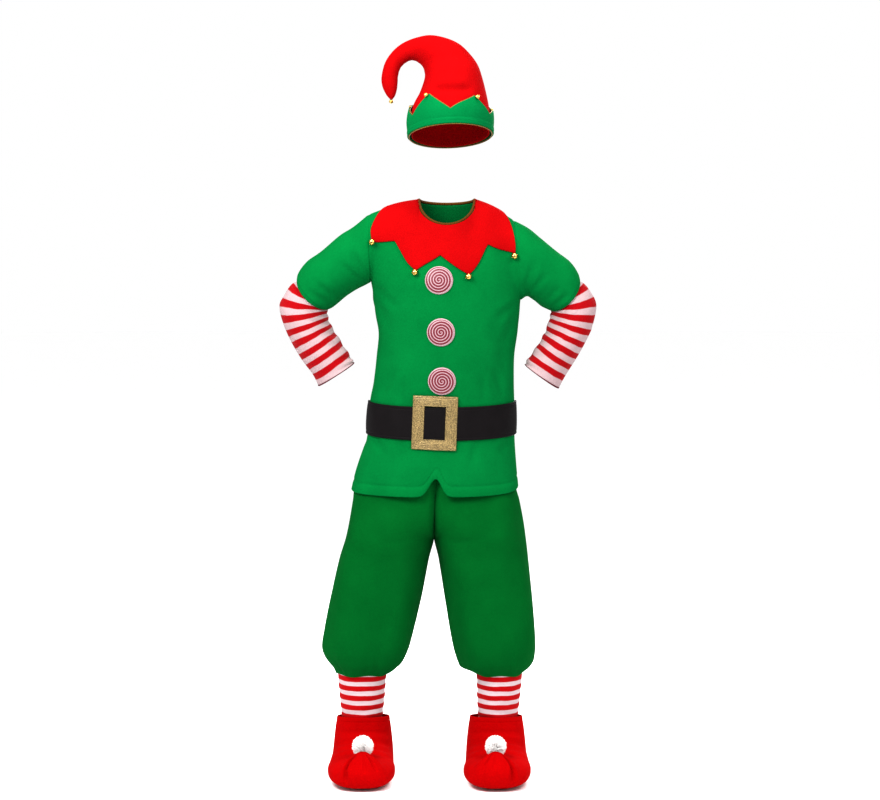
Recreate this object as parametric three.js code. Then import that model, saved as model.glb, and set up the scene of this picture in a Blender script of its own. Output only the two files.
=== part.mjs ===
// Elf costume: hat, tunic with collar and belt, knee breeches, stockings and shoe covers,
// in the hollow form they have when worn.
// Millimetres, +Z up. The front faces -Y and +X is the wearer's left. Heights are written from
// the floor that the shoes stand on, and the whole costume is then moved so that the middle of
// the neck opening is the origin.
import * as THREE from 'three';

const NECK = { x: 12, y: 0, z: 1210 };   // middle of the neck opening
const SEAM = 0.3;                        // gap left between two pieces at a seam
const FLEECE = 2;                        // wall of tunic, breeches, collar and hat
const JERSEY = 1.5;                      // wall of the striped sleeves and stockings
const FELT = 3;                          // wall of brim, shoe uppers and soles
const LIFT = 1;                          // what lies on a panel is moved out by this much
const TAU = Math.PI * 2;
const FRONT = -1;
const BACK = 1;
const LEFT = 1;
const RIGHT = -1;

const mix = THREE.MathUtils.lerp;
const { clamp, smoothstep } = THREE.MathUtils;
const point = (x, y, z) => new THREE.Vector3(x, y, z);

const FINISH = {
  green: { color: 0x009a47, roughness: 0.9, metalness: 0 },
  darkGreen: { color: 0x007f36, roughness: 0.9, metalness: 0 },
  red: { color: 0xf01018, roughness: 0.9, metalness: 0 },
  shoeRed: { color: 0xd80008, roughness: 0.9, metalness: 0 },
  stripe: { color: 0xf0a0a8, roughness: 0.85, metalness: 0 },
  maroon: { color: 0x8a1018, roughness: 0.85, metalness: 0 },
  button: { color: 0xd890a8, roughness: 0.6, metalness: 0 },
  black: { color: 0x1a1416, roughness: 0.6, metalness: 0 },
  gold: { color: 0xc0a055, roughness: 0.4, metalness: 0.6 },
  white: { color: 0xf6f4f2, roughness: 0.95, metalness: 0 },
};

const costume = new THREE.Group();

function add(name, geometry, finish) {
  const mesh = new THREE.Mesh(geometry, new THREE.MeshStandardMaterial(FINISH[finish]));
  mesh.name = name;
  costume.add(mesh);
}

// Values between the rows of a table, on smooth curves through them. Rows are spaced by the
// column named in `by`, or evenly, 0, 1, 2 and so on, where none is named.
function profile(rows, by) {
  const at = rows.map((row, k) => (by ? row[by] : k));
  const last = rows.length - 1;
  const slope = (name, k) => {
    const before = Math.max(k - 1, 0);
    const after = Math.min(k + 1, last);
    return (rows[after][name] - rows[before][name]) / (at[after] - at[before]);
  };
  return (x) => {
    let k = 0;
    while (k < last - 1 && x > at[k + 1]) k += 1;
    const step = at[k + 1] - at[k];
    const t = (x - at[k]) / step;
    const row = {};
    for (const name of Object.keys(rows[0])) {
      const from = rows[k][name];
      const to = rows[k + 1][name];
      row[name] = (2 * t ** 3 - 3 * t ** 2 + 1) * from + (t ** 3 - 2 * t ** 2 + t) * step * slope(name, k)
        + (3 * t ** 2 - 2 * t ** 3) * to + (t ** 3 - t ** 2) * step * slope(name, k + 1);
    }
    return row;
  };
}

// A point of a ring that is seen edge on from the front, as the line between an outer and an
// inner point of the outline. Turn 0 is the outer point, a quarter turn the front and a half turn
// the inner point. `lean` moves the front of the ring along the tube and the back against it.
function ringPoint(row, turn, hand) {
  const acrossX = row.outX - row.inX;
  const acrossZ = row.outZ - row.inZ;
  const lean = hand * row.lean * Math.sin(turn) / Math.hypot(acrossX, acrossZ);
  return point(
    (row.outX + row.inX + acrossX * Math.cos(turn)) / 2 + acrossZ * lean,
    row.y - row.depth * Math.sin(turn),
    (row.outZ + row.inZ + acrossZ * Math.cos(turn)) / 2 - acrossX * lean,
  );
}

// The same ring, smaller all round by `by`.
function inset(row, by) {
  const share = by / Math.hypot(row.outX - row.inX, row.outZ - row.inZ);
  return {
    ...row,
    outX: mix(row.outX, row.inX, share),
    outZ: mix(row.outZ, row.inZ, share),
    inX: mix(row.inX, row.outX, share),
    inZ: mix(row.inZ, row.outZ, share),
    depth: row.depth - by,
  };
}

// Direction square to a surface, outwards where `sense` is right.
function normalAt(surface, u, v, sense) {
  const step = 1e-3;
  const alongU = surface(u + step, v).sub(surface(u - step, v));
  const alongV = surface(u, v + step).sub(surface(u, v - step));
  return alongU.cross(alongV).multiplyScalar(sense).normalize();
}

// A closed wall between an outer and an inner grid of points, both given by column and row.
// `round` joins the last column to the first, and `tip` ends the last row in one point.
function wall({ columns, rows, outer, inner, round = false, tip = false }) {
  const across = round ? columns : columns + 1;
  const vertices = [];
  const faces = [];
  const skins = [outer, inner].map((at) => {
    const grid = [];
    for (let j = 0; j <= rows; j += 1) {
      grid.push([]);
      for (let i = 0; i < across; i += 1) {
        if (!(tip && j === rows && i > 0)) vertices.push(at(i, j));
        grid[j].push(vertices.length - 1);
      }
      if (round) grid[j].push(grid[j][0]);
    }
    return grid;
  });
  const quad = (a, b, c, d) => {
    if (a !== b && b !== c && c !== a) faces.push([a, b, c]);
    if (a !== c && c !== d && d !== a) faces.push([a, c, d]);
  };
  skins.forEach((grid, skin) => {
    for (let j = 0; j < rows; j += 1) {
      for (let i = 0; i < columns; i += 1) {
        const corners = [grid[j][i], grid[j][i + 1], grid[j + 1][i + 1], grid[j + 1][i]];
        quad(...(skin ? corners.reverse() : corners));
      }
    }
  });
  const [out, back] = skins;
  for (let i = 0; i < columns; i += 1) {
    quad(out[0][i + 1], out[0][i], back[0][i], back[0][i + 1]);
    if (!tip) quad(out[rows][i], out[rows][i + 1], back[rows][i + 1], back[rows][i]);
  }
  for (let j = 0; j < rows && !round; j += 1) {
    quad(out[j][0], out[j + 1][0], back[j + 1][0], back[j][0]);
    quad(out[j + 1][columns], out[j][columns], back[j][columns], back[j + 1][columns]);
  }
  return closed(vertices, faces);
}

// A geometry from points and triangles, with its faces turned outwards.
function closed(vertices, faces) {
  let volume = 0;
  for (const [a, b, c] of faces) {
    volume += vertices[a].dot(vertices[b].clone().cross(vertices[c]));
  }
  const geometry = new THREE.BufferGeometry();
  geometry.setAttribute('position', new THREE.Float32BufferAttribute(
    vertices.flatMap((vertex) => vertex.toArray()), 3));
  geometry.setIndex(faces.flatMap(([a, b, c]) => (volume > 0 ? [a, b, c] : [a, c, b])));
  geometry.computeVertexNormals();
  return geometry;
}

// A cord of piping round a closed path. `away` points out of the cloth at each point.
function piping(path, away, radius, sides) {
  const count = path.length;
  const vertices = [];
  const faces = [];
  path.forEach((centre, k) => {
    const along = path[(k + 1) % count].clone().sub(path[(k + count - 1) % count]).normalize();
    const side = along.clone().cross(away[k]).normalize();
    const up = side.clone().cross(along);
    for (let s = 0; s < sides; s += 1) {
      const angle = TAU * s / sides;
      vertices.push(centre.clone().addScaledVector(up, radius * Math.cos(angle))
        .addScaledVector(side, radius * Math.sin(angle)));
    }
  });
  for (let k = 0; k < count; k += 1) {
    for (let s = 0; s < sides; s += 1) {
      const next = (k + 1) % count;
      const turn = (s + 1) % sides;
      faces.push([k * sides + s, next * sides + s, next * sides + turn]);
      faces.push([k * sides + s, next * sides + turn, k * sides + turn]);
    }
  }
  return closed(vertices, faces);
}

function bell(name, centre, radius) {
  const ball = new THREE.IcosahedronGeometry(radius, 1);
  ball.translate(centre.x, centre.y, centre.z);
  add(name, ball, 'gold');
}

// Sleeves: the puffed green sleeve from the armhole to its hem at the elbow.
const SLEEVE = {
  [LEFT]: [
    { outX: 157, outZ: 1187, inX: 171, inZ: 1017, y: 0, depth: 57, lean: 0 },
    { outX: 187, outZ: 1171, inX: 186, inZ: 1025, y: 2, depth: 58, lean: 2 },
    { outX: 213, outZ: 1150, inX: 200, inZ: 1017, y: 4, depth: 58, lean: 5 },
    { outX: 247, outZ: 1122, inX: 216, inZ: 1004, y: 6, depth: 57, lean: 9 },
    { outX: 275, outZ: 1101, inX: 228, inZ: 998, y: 8, depth: 55, lean: 13 },
    { outX: 291, outZ: 1079, inX: 234, inZ: 995.5, y: 9, depth: 51, lean: 17 },
    { outX: 296, outZ: 1062, inX: 238, inZ: 995, y: 10, depth: 47, lean: 18 },
  ],
  [RIGHT]: [
    { outX: -155, outZ: 1200, inX: -150, inZ: 1056, y: 0, depth: 57, lean: 0 },
    { outX: -187, outZ: 1174, inX: -163, inZ: 1049, y: 2, depth: 58, lean: 2 },
    { outX: -217, outZ: 1155, inX: -181, inZ: 1040, y: 4, depth: 58, lean: 5 },
    { outX: -256, outZ: 1122, inX: -203, inZ: 1026, y: 6, depth: 57, lean: 9 },
    { outX: -286, outZ: 1101, inX: -222, inZ: 1010, y: 8, depth: 55, lean: 13 },
    { outX: -304, outZ: 1078, inX: -234, inZ: 1001, y: 9, depth: 51, lean: 17 },
    { outX: -307, outZ: 1061, inX: -242, inZ: 998, y: 10, depth: 47, lean: 18 },
  ],
};

// Sleeves: the striped lower sleeve, from the green hem round the bent elbow to the cuff.
const STRIPED = {
  [LEFT]: [
    { outX: 308, outZ: 1052, inX: 240, inZ: 992, y: 10, depth: 46, lean: 16 },
    { outX: 322, outZ: 1035, inX: 238, inZ: 983, y: 10, depth: 49, lean: 14 },
    { outX: 334, outZ: 1007, inX: 234, inZ: 974, y: 9, depth: 50, lean: 13 },
    { outX: 326, outZ: 963, inX: 226, inZ: 949, y: 8, depth: 50, lean: 12 },
    { outX: 317, outZ: 940, inX: 218, inZ: 935, y: 6, depth: 49, lean: 12 },
    { outX: 296, outZ: 900, inX: 202, inZ: 910, y: 3, depth: 46, lean: 12 },
    { outX: 268, outZ: 855, inX: 187, inZ: 890, y: 0, depth: 43, lean: 12 },
    { outX: 254, outZ: 829, inX: 181, inZ: 879, y: -1, depth: 43, lean: 12 },
  ],
  [RIGHT]: [
    { outX: -322, outZ: 1050, inX: -246, inZ: 993, y: 10, depth: 46, lean: 16 },
    { outX: -338, outZ: 1026, inX: -245, inZ: 982, y: 10, depth: 49, lean: 14 },
    { outX: -347, outZ: 1005, inX: -241, inZ: 968, y: 9, depth: 50, lean: 13 },
    { outX: -339, outZ: 968, inX: -230, inZ: 948, y: 8, depth: 50, lean: 12 },
    { outX: -322, outZ: 928, inX: -216, inZ: 928, y: 6, depth: 49, lean: 12 },
    { outX: -299, outZ: 889, inX: -200, inZ: 903, y: 3, depth: 46, lean: 12 },
    { outX: -276, outZ: 858, inX: -191, inZ: 889, y: 0, depth: 43, lean: 12 },
    { outX: -264, outZ: 834, inX: -187, inZ: 883, y: -1, depth: 43, lean: 12 },
  ],
};

// Tunic: half widths and depths of the body, by height.
const BODY = [
  { z: 590, right: -198, left: 170, front: 108, back: 110 },
  { z: 650, right: -184, left: 164, front: 101, back: 103 },
  { z: 700, right: -167, left: 160, front: 94, back: 94 },
  { z: 720, right: -159, left: 159, front: 92.5, back: 90 },
  { z: 760, right: -156, left: 158.5, front: 92, back: 88.5 },
  { z: 805, right: -152, left: 158, front: 92.5, back: 88 },
  { z: 840, right: -145, left: 157, front: 95, back: 89 },
  { z: 900, right: -138, left: 158, front: 99, back: 92 },
  { z: 950, right: -134, left: 165, front: 101, back: 96 },
  { z: 1000, right: -142, left: 170, front: 101, back: 100 },
  { z: 1060, right: -151, left: 172, front: 99, back: 101 },
];
const body = profile(BODY, 'z');

// The largest soft folds of the tunic: place across the panel from -1 to 1, half width, how deep,
// and the heights at which the fold starts, is deepest and ends.
const TUNIC_FOLDS = [
  { side: FRONT, u: 0, width: 0.1, deep: 8, low: 500, peak: 610, high: 715 },
  { side: FRONT, u: -0.5, width: 0.14, deep: 5, low: 480, peak: 600, high: 712 },
  { side: FRONT, u: 0.55, width: 0.13, deep: 5, low: 480, peak: 600, high: 712 },
  { side: FRONT, u: -0.68, width: 0.1, deep: 4, low: 805, peak: 850, high: 960 },
  { side: FRONT, u: 0.6, width: 0.1, deep: 5, low: 805, peak: 870, high: 1000 },
  { side: BACK, u: -0.55, width: 0.15, deep: 6, low: 480, peak: 600, high: 715 },
  { side: BACK, u: 0.1, width: 0.14, deep: 7, low: 480, peak: 600, high: 715 },
  { side: BACK, u: 0.6, width: 0.13, deep: 6, low: 480, peak: 600, high: 715 },
  { side: BACK, u: -0.4, width: 0.12, deep: 5, low: 805, peak: 860, high: 990 },
  { side: BACK, u: 0.35, width: 0.12, deep: 5, low: 805, peak: 860, high: 980 },
];

const HEM = { front: 603, riseRight: 9, riseLeft: 18, notch: 38, notchWidth: 0.075 };
const NECKLINE = {
  u: 0.42, x: 12.5, half: 62, front: 66, back: 47, z: 1229, dropFront: 51, dropBack: 8,
};
const SHOULDER_RISE = 4;

function foldDepth(folds, u, z) {
  let depth = 0;
  for (const fold of folds) {
    const height = smoothstep(z, fold.low, fold.peak) * (1 - smoothstep(z, fold.peak, fold.high));
    depth += fold.deep * height * Math.exp(-(((u - fold.u) / fold.width) ** 2));
  }
  return depth;
}

function hemHeight(side, u) {
  const notch = side === FRONT ? HEM.notch * Math.exp(-((u / HEM.notchWidth) ** 2)) : 0;
  return HEM.front + (u < 0 ? HEM.riseRight : HEM.riseLeft) * u ** 4 + notch;
}

function armpitHeight(u) {
  const across = (1 + Math.sin(clamp(u, -1, 1) * Math.PI / 2)) / 2;
  return mix(SLEEVE[RIGHT][0].inZ, SLEEVE[LEFT][0].inZ, across);
}

function bodyPoint(side, u, z) {
  const row = body(z);
  const angle = u * Math.PI / 2;
  const folds = TUNIC_FOLDS.filter((fold) => fold.side === side);
  const deep = (side === FRONT ? row.front : row.back) * Math.cos(angle) - foldDepth(folds, u, z);
  return point((row.left + row.right) / 2 + (row.left - row.right) / 2 * Math.sin(angle), side * deep, z);
}

// Top edge of a tunic panel: the neckline in the middle and a shoulder seam at each side.
function topEdge(side, u) {
  const out = Math.abs(u);
  if (out <= NECKLINE.u) {
    const angle = u / NECKLINE.u * Math.PI / 2;
    const front = side === FRONT;
    return point(
      NECKLINE.x + NECKLINE.half * Math.sin(angle),
      side * (front ? NECKLINE.front : NECKLINE.back) * Math.cos(angle),
      NECKLINE.z - (front ? NECKLINE.dropFront : NECKLINE.dropBack) * Math.cos(angle) ** 1.3,
    );
  }
  const hand = Math.sign(u);
  const share = (out - NECKLINE.u) / (1 - NECKLINE.u);
  const arm = SLEEVE[hand][0];
  return point(
    mix(NECKLINE.x + hand * NECKLINE.half, arm.outX, share),
    0,
    mix(NECKLINE.z, arm.outZ, share) + SHOULDER_RISE * Math.sin(Math.PI * share),
  );
}

function armhole(side, hand, rise) {
  const ring = ringPoint(SLEEVE[hand][0], Math.PI * (1 - rise), hand);
  ring.y *= -side;
  return ring;
}

// Outer surface of a tunic panel. u runs from -1 at the wearer's right to 1 at the left, and v
// from 0 at the hem through 1 at the armpits to 2 at the neck and shoulder seams.
function tunic(side, u, v) {
  const armpit = armpitHeight(u);
  if (v <= 1) return bodyPoint(side, u, mix(hemHeight(side, u), armpit, v));
  const rise = v - 1;
  const out = Math.min(Math.abs(u), 1);
  const shoulder = smoothstep(out, 0.1, 0.6);
  const low = bodyPoint(side, u, armpit);
  const top = topEdge(side, u);
  const up = mix(rise, Math.sin(rise * Math.PI / 2), shoulder);
  const over = mix(rise ** 1.6, 1 - Math.cos(rise * Math.PI / 2), shoulder);
  const at = point(mix(low.x, top.x, up), mix(low.y, top.y, over), mix(low.z, top.z, up));
  const hand = u < 0 ? RIGHT : LEFT;
  const edgeUp = Math.sin(rise * Math.PI / 2);
  const edge = SLEEVE[hand][0];
  const straight = point(mix(edge.inX, edge.outX, edgeUp), 0, mix(edge.inZ, edge.outZ, edgeUp));
  return at.addScaledVector(armhole(side, hand, rise).sub(straight), out ** 3);
}

function tunicNormal(side, u, v) {
  const surface = (a, b) => tunic(side, clamp(a, -1, 1), clamp(b, 0, 2));
  return normalAt(surface, u, v, -side);
}

// Direction square to a sleeve's surface. v counts the rows of its table.
function tubeNormal(table, hand, turn, v) {
  const row = profile(table);
  return normalAt((a, b) => ringPoint(row(b), a, hand), turn, v, hand);
}

const UPPER_ROWS = 7;
const UNDERARM_EASE = 0.5;    // a little more room at the seam under the arm
const NEAR_ARMHOLE = { u: 0.94, rise: 0.05, station: 0.3 };   // where slopes are read beside the seam
const MITRE_LIMIT = 0.4;      // keeps a sharp corner from growing long

// Direction in which a sleeve leaves the body.
function armDirection(hand) {
  const [root, next] = SLEEVE[hand];
  return point(next.outX + next.inX - root.outX - root.inX, 0, next.outZ + next.inZ - root.outZ - root.inZ);
}

// Shared edge of a panel and a sleeve at the armhole: the corner direction that the inner
// faces of both meet on, and the direction in which the two pieces are parted.
function armholeEdge(side, hand, rise) {
  const turn = -side * Math.PI * (1 - rise);
  const { u, rise: margin, station } = NEAR_ARMHOLE;
  const panel = tunicNormal(side, hand * u, 1 + clamp(rise, margin, 1 - margin));
  const sleeve = tubeNormal(SLEEVE[hand], hand, turn, station);
  if (rise <= 0 || rise >= 1) {
    panel.y = 0;
    sleeve.y = 0;
    panel.normalize();
    sleeve.normalize();
  }
  const corner = panel.clone().add(sleeve).normalize();
  corner.divideScalar(Math.max(corner.dot(panel), MITRE_LIMIT));
  const facing = corner.clone().normalize();
  const gap = SEAM / 2 + UNDERARM_EASE * (1 - clamp(rise, 0, 1)) ** 3;
  const apart = armDirection(hand);
  apart.addScaledVector(facing, -apart.dot(facing)).setLength(gap);
  return { corner, apart };
}

const FRONT_COLUMNS = [-1, -0.86, -0.71, -0.54, NECKLINE.u * -1, -0.32, -0.18, -0.07, 0,
  0.07, 0.18, 0.32, NECKLINE.u, 0.54, 0.71, 0.86, 1];
const BACK_COLUMNS = [-1, -0.86, -0.71, -0.54, NECKLINE.u * -1, -0.3, -0.1,
  0.1, 0.3, NECKLINE.u, 0.54, 0.71, 0.86, 1];
const LOWER_ROWS = [0, 0.08, 0.18, 0.29, 0.45, 0.58, 0.72, 0.86];

function tunicPanel(side) {
  const across = side === FRONT ? FRONT_COLUMNS : BACK_COLUMNS;
  const up = [...LOWER_ROWS];
  for (let j = 0; j <= UPPER_ROWS; j += 1) up.push(1 + j / UPPER_ROWS);
  const at = (i, j, depth) => {
    const u = across[i];
    const v = up[j];
    const sideEdge = Math.abs(u) === 1;
    const shoulderEdge = v === 2 && Math.abs(u) >= NECKLINE.u;
    const spot = tunic(side, u, v);
    if (sideEdge && v >= 1) {
      const { corner, apart } = armholeEdge(side, u, v - 1);
      spot.addScaledVector(corner, -depth).sub(apart);
      if (v === 1 || v === 2) spot.y += side * SEAM / 2;
      return spot;
    }
    const normal = tunicNormal(side, u, v);
    if (sideEdge || shoulderEdge) {
      normal.y = 0;
      normal.normalize();
      spot.y += side * SEAM / 2;
    }
    return spot.addScaledVector(normal, -depth);
  };
  return wall({
    columns: across.length - 1,
    rows: up.length - 1,
    outer: (i, j) => at(i, j, 0),
    inner: (i, j) => at(i, j, FLEECE),
  });
}

add('tunic_front', tunicPanel(FRONT), 'green');
add('tunic_back', tunicPanel(BACK), 'green');

// A tube through a table of rings, with `around` faces round it and its rings at `stations`.
function tube(table, hand, around, stations, thick, edgeAt) {
  const row = profile(table);
  const at = (i, j, depth) => {
    const turn = Math.PI + TAU * i / around;
    const v = stations[j];
    const spot = ringPoint(row(v), turn, hand);
    if (edgeAt && j === 0) return edgeAt(i, spot, depth);
    return spot.addScaledVector(tubeNormal(table, hand, turn, v), -depth);
  };
  return wall({
    columns: around,
    rows: stations.length - 1,
    outer: (i, j) => at(i, j, 0),
    inner: (i, j) => at(i, j, thick),
    round: true,
  });
}

const AROUND_SLEEVE = 2 * UPPER_ROWS;
const SLEEVE_STATIONS = [0, 0.6, 1.4, 2.3, 3.2, 4.1, 4.8, 5.4, 6];
const STRIPED_STATIONS = [0, 1, 2, 3, 4, 5, 6, 7, 8, 8.93];
const CUFF_STATIONS = [8.95, 9.07];
const CUFF_WALL = 2;
const TUCK = { station: 5.2, smaller: 8, gap: 1.1 };   // lower sleeve inside the green hem

for (const [hand, name] of [[LEFT, 'left'], [RIGHT, 'right']]) {
  const puffed = SLEEVE[hand];
  const armEdge = (i, spot, depth) => {
    const half = i <= UPPER_ROWS;
    const rise = half ? i / UPPER_ROWS : (AROUND_SLEEVE - i) / UPPER_ROWS;
    const { corner, apart } = armholeEdge(half ? BACK : FRONT, hand, rise);
    return spot.addScaledVector(corner, -depth).add(apart);
  };
  add(`sleeve_${name}`, tube(puffed, hand, AROUND_SLEEVE, SLEEVE_STATIONS, FLEECE, armEdge), 'green');

  const inside = profile(puffed)(TUCK.station);
  const hem = puffed[puffed.length - 1];
  const lower = [inset(inside, TUCK.smaller), inset(hem, FLEECE + TUCK.gap), ...STRIPED[hand]];
  add(`striped_sleeve_${name}`, tube(lower, hand, AROUND_SLEEVE, STRIPED_STATIONS, JERSEY), 'stripe');
  add(`cuff_binding_${name}`, tube(lower, hand, AROUND_SLEEVE, CUFF_STATIONS, CUFF_WALL), 'maroon');
}

// Collar: its outer edge across one panel, with the place on the neckline, from -1 to 1, that
// each point is cut from. `bell` marks the tip that a bell is sewn to.
const COLLAR_EDGE = [
  { u: -0.82, v: 2, neck: -1, bell: 0 },
  { u: -0.92, v: 1.78, neck: -0.93, bell: 0 },
  { u: -0.96, v: 1.55, neck: -0.8, bell: 1 },
  { u: -0.7, v: 1.43, neck: -0.66, bell: 0 },
  { u: -0.457, v: 1.37, neck: -0.52, bell: 0 },
  { u: -0.33, v: 1.25, neck: -0.38, bell: 0 },
  { u: -0.24, v: 1.17, neck: -0.27, bell: 1 },
  { u: -0.03, v: 1.5, neck: -0.02, bell: 0 },
  { u: 0.207, v: 1.19, neck: 0.25, bell: 1 },
  { u: 0.29, v: 1.3, neck: 0.36, bell: 0 },
  { u: 0.384, v: 1.46, neck: 0.48, bell: 0 },
  { u: 0.68, v: 1.48, neck: 0.64, bell: 0 },
  { u: 0.96, v: 1.56, neck: 0.8, bell: 1 },
  { u: 0.93, v: 1.8, neck: 0.93, bell: 0 },
  { u: 0.845, v: 2, neck: 1, bell: 0 },
];
const COLLAR_SPLITS = 2;
const COLLAR_ROWS = 5;
const COLLAR_LIFT = 1.8;
const COLLAR_BELL = { radius: 7, lift: 0.8, tuck: 1.4 };

// A point of the collar's place: `along` counts the rows of its edge table, and `out` runs from
// 0 at the neckline to 1 at the points.
function collarPlace(along, out) {
  const k = Math.min(Math.floor(along), COLLAR_EDGE.length - 2);
  const share = along - k;
  const a = COLLAR_EDGE[k];
  const b = COLLAR_EDGE[k + 1];
  return {
    u: mix(mix(a.neck, b.neck, share) * NECKLINE.u, mix(a.u, b.u, share), out),
    v: mix(2, mix(a.v, b.v, share), out),
  };
}

function onTunic(side, place, height) {
  const spot = tunic(side, place.u, place.v);
  const normal = tunicNormal(side, place.u, place.v);
  if (place.v === 2 && Math.abs(place.u) >= NECKLINE.u - 1e-6) {
    normal.y = 0;
    normal.normalize();
  }
  return spot.addScaledVector(normal, height);
}

function collar() {
  const half = (COLLAR_EDGE.length - 1) * COLLAR_SPLITS;
  const at = (i, j, height) => {
    const side = i < half ? FRONT : BACK;
    const along = side === FRONT ? i / COLLAR_SPLITS : (2 * half - i) / COLLAR_SPLITS;
    return onTunic(side, collarPlace(along, j / COLLAR_ROWS), height);
  };
  return wall({
    columns: 2 * half,
    rows: COLLAR_ROWS,
    outer: (i, j) => at(i, j, COLLAR_LIFT + FLEECE),
    inner: (i, j) => at(i, j, COLLAR_LIFT),
    round: true,
  });
}

add('collar', collar(), 'red');

let bells = 0;
for (const side of [FRONT, BACK]) {
  COLLAR_EDGE.forEach((edge, k) => {
    if (!edge.bell) return;
    const { radius, lift, tuck } = COLLAR_BELL;
    const tip = onTunic(side, collarPlace(k, 1), radius + lift);
    const nearer = onTunic(side, collarPlace(k, 0.9), radius + lift);
    const beyond = tip.clone().sub(nearer).setLength(radius - tuck);
    bells += 1;
    bell(`collar_bell_${bells}`, tip.add(beyond), radius);
  });
}

// Binding: a cord of gold piping that closes the neck edge of tunic and collar.
const BINDING = { radius: 2.3, sides: 5, count: 36 };

function neckBinding() {
  const path = [];
  const away = [];
  for (let k = 0; k < BINDING.count; k += 1) {
    const angle = TAU * k / BINDING.count;
    const side = Math.cos(angle) >= 0 ? FRONT : BACK;
    const u = NECKLINE.u * Math.asin(Math.sin(angle)) / (Math.PI / 2);
    const edge = topEdge(side, u);
    const facing = tunicNormal(side, clamp(u, -0.36, 0.36), 1.99);
    const nextU = u + (Math.abs(u) > 0.4 ? -0.02 * Math.sign(u) : 0.02);
    const along = topEdge(side, nextU).sub(edge);
    const inwards = along.cross(facing).normalize();
    if (inwards.dot(point(NECKLINE.x - edge.x, -edge.y, 60)) < 0) inwards.negate();
    path.push(edge.addScaledVector(facing, 0.6).addScaledVector(inwards, BINDING.radius + 0.8));
    away.push(facing);
  }
  return piping(path, away, BINDING.radius, BINDING.sides);
}

add('neck_binding', neckBinding(), 'gold');

// Place on the front panel that lies at x and z, found by a few steps of Newton's method.
function frontPlace(x, z) {
  let u = 0;
  let v = 0.9;
  const step = 1e-4;
  for (let k = 0; k < 12; k += 1) {
    const at = tunic(FRONT, u, v);
    const du = tunic(FRONT, u + step, v).sub(at).divideScalar(step);
    const dv = tunic(FRONT, u, v + step).sub(at).divideScalar(step);
    const det = du.x * dv.z - dv.x * du.z;
    const missX = x - at.x;
    const missZ = z - at.z;
    u = clamp(u + (missX * dv.z - dv.x * missZ) / det, -1, 1);
    v = clamp(v + (du.x * missZ - missX * du.z) / det, 0, 2);
  }
  return { u, v };
}

// Buttons: three soft round discs down the middle of the front.
const BUTTONS = [
  { x: -4, z: 1059 },
  { x: 0, z: 950 },
  { x: 2, z: 847 },
];
const BUTTON = { radius: 29.5, thick: 4, sides: 18, rings: 2 };

BUTTONS.forEach((button, k) => {
  const at = (i, j, height) => {
    const reach = BUTTON.radius * (1 - j / BUTTON.rings);
    const angle = TAU * i / BUTTON.sides;
    const place = frontPlace(button.x + reach * Math.cos(angle), button.z + reach * Math.sin(angle));
    return onTunic(FRONT, place, height);
  };
  add(`button_${k + 1}`, wall({
    columns: BUTTON.sides,
    rows: BUTTON.rings,
    outer: (i, j) => at(i, j, LIFT + BUTTON.thick),
    inner: (i, j) => at(i, j, LIFT),
    round: true,
    tip: true,
  }), 'button');
});

// Belt: a band round the waist that dips towards the buckle, and a square frame on it.
const BELT = { low: 732, high: 801, dip: 10, lift: 1.8, thick: 2.5, rows: 3 };
const BUCKLE = { x: -13, z: 759, halfWidth: 47, halfHeight: 56.5, holeWidth: 23, holeHeight: 36.5 };
const BUCKLE_PLATE = { lift: 1, thick: 3, perSide: 5 };

function beltPoint(side, u, z, height) {
  const place = { u, v: (z - hemHeight(side, u)) / (armpitHeight(u) - hemHeight(side, u)) };
  return onTunic(side, place, height);
}

function belt() {
  const back = [...BACK_COLUMNS].reverse().slice(1, -1);
  const around = [...FRONT_COLUMNS.map((u) => [FRONT, u]), ...back.map((u) => [BACK, u])];
  const at = (i, j, height) => {
    const [side, u] = around[i];
    const z = mix(BELT.low, BELT.high, j / BELT.rows) - BELT.dip * Math.cos(u * Math.PI / 2);
    return beltPoint(side, u, z, height);
  };
  return wall({
    columns: around.length,
    rows: BELT.rows,
    outer: (i, j) => at(i, j, BELT.lift + BELT.thick),
    inner: (i, j) => at(i, j, BELT.lift),
    round: true,
  });
}

// The k-th of 4 * perSide points round a rectangle, from its lower left corner.
function rectanglePoint(k, halfWidth, halfHeight) {
  const side = Math.floor(k / BUCKLE_PLATE.perSide) % 4;
  const share = (k % BUCKLE_PLATE.perSide) / BUCKLE_PLATE.perSide;
  const corners = [[-1, -1], [1, -1], [1, 1], [-1, 1], [-1, -1]];
  return {
    x: halfWidth * mix(corners[side][0], corners[side + 1][0], share),
    z: halfHeight * mix(corners[side][1], corners[side + 1][1], share),
  };
}

function buckle() {
  const base = BELT.lift + BELT.thick + BUCKLE_PLATE.lift;
  const at = (i, j, height) => {
    const size = j ? [BUCKLE.holeWidth, BUCKLE.holeHeight] : [BUCKLE.halfWidth, BUCKLE.halfHeight];
    const { x, z } = rectanglePoint(i, ...size);
    const u = frontPlace(BUCKLE.x + x, BUCKLE.z).u;
    const spot = beltPoint(FRONT, u, BUCKLE.z, base + height);
    spot.z = BUCKLE.z + z;
    return spot;
  };
  return wall({
    columns: 4 * BUCKLE_PLATE.perSide,
    rows: 1,
    outer: (i, j) => at(i, j, BUCKLE_PLATE.thick),
    inner: (i, j) => at(i, j, 0),
    round: true,
  });
}

add('belt', belt(), 'black');
add('buckle', buckle(), 'gold');

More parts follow.
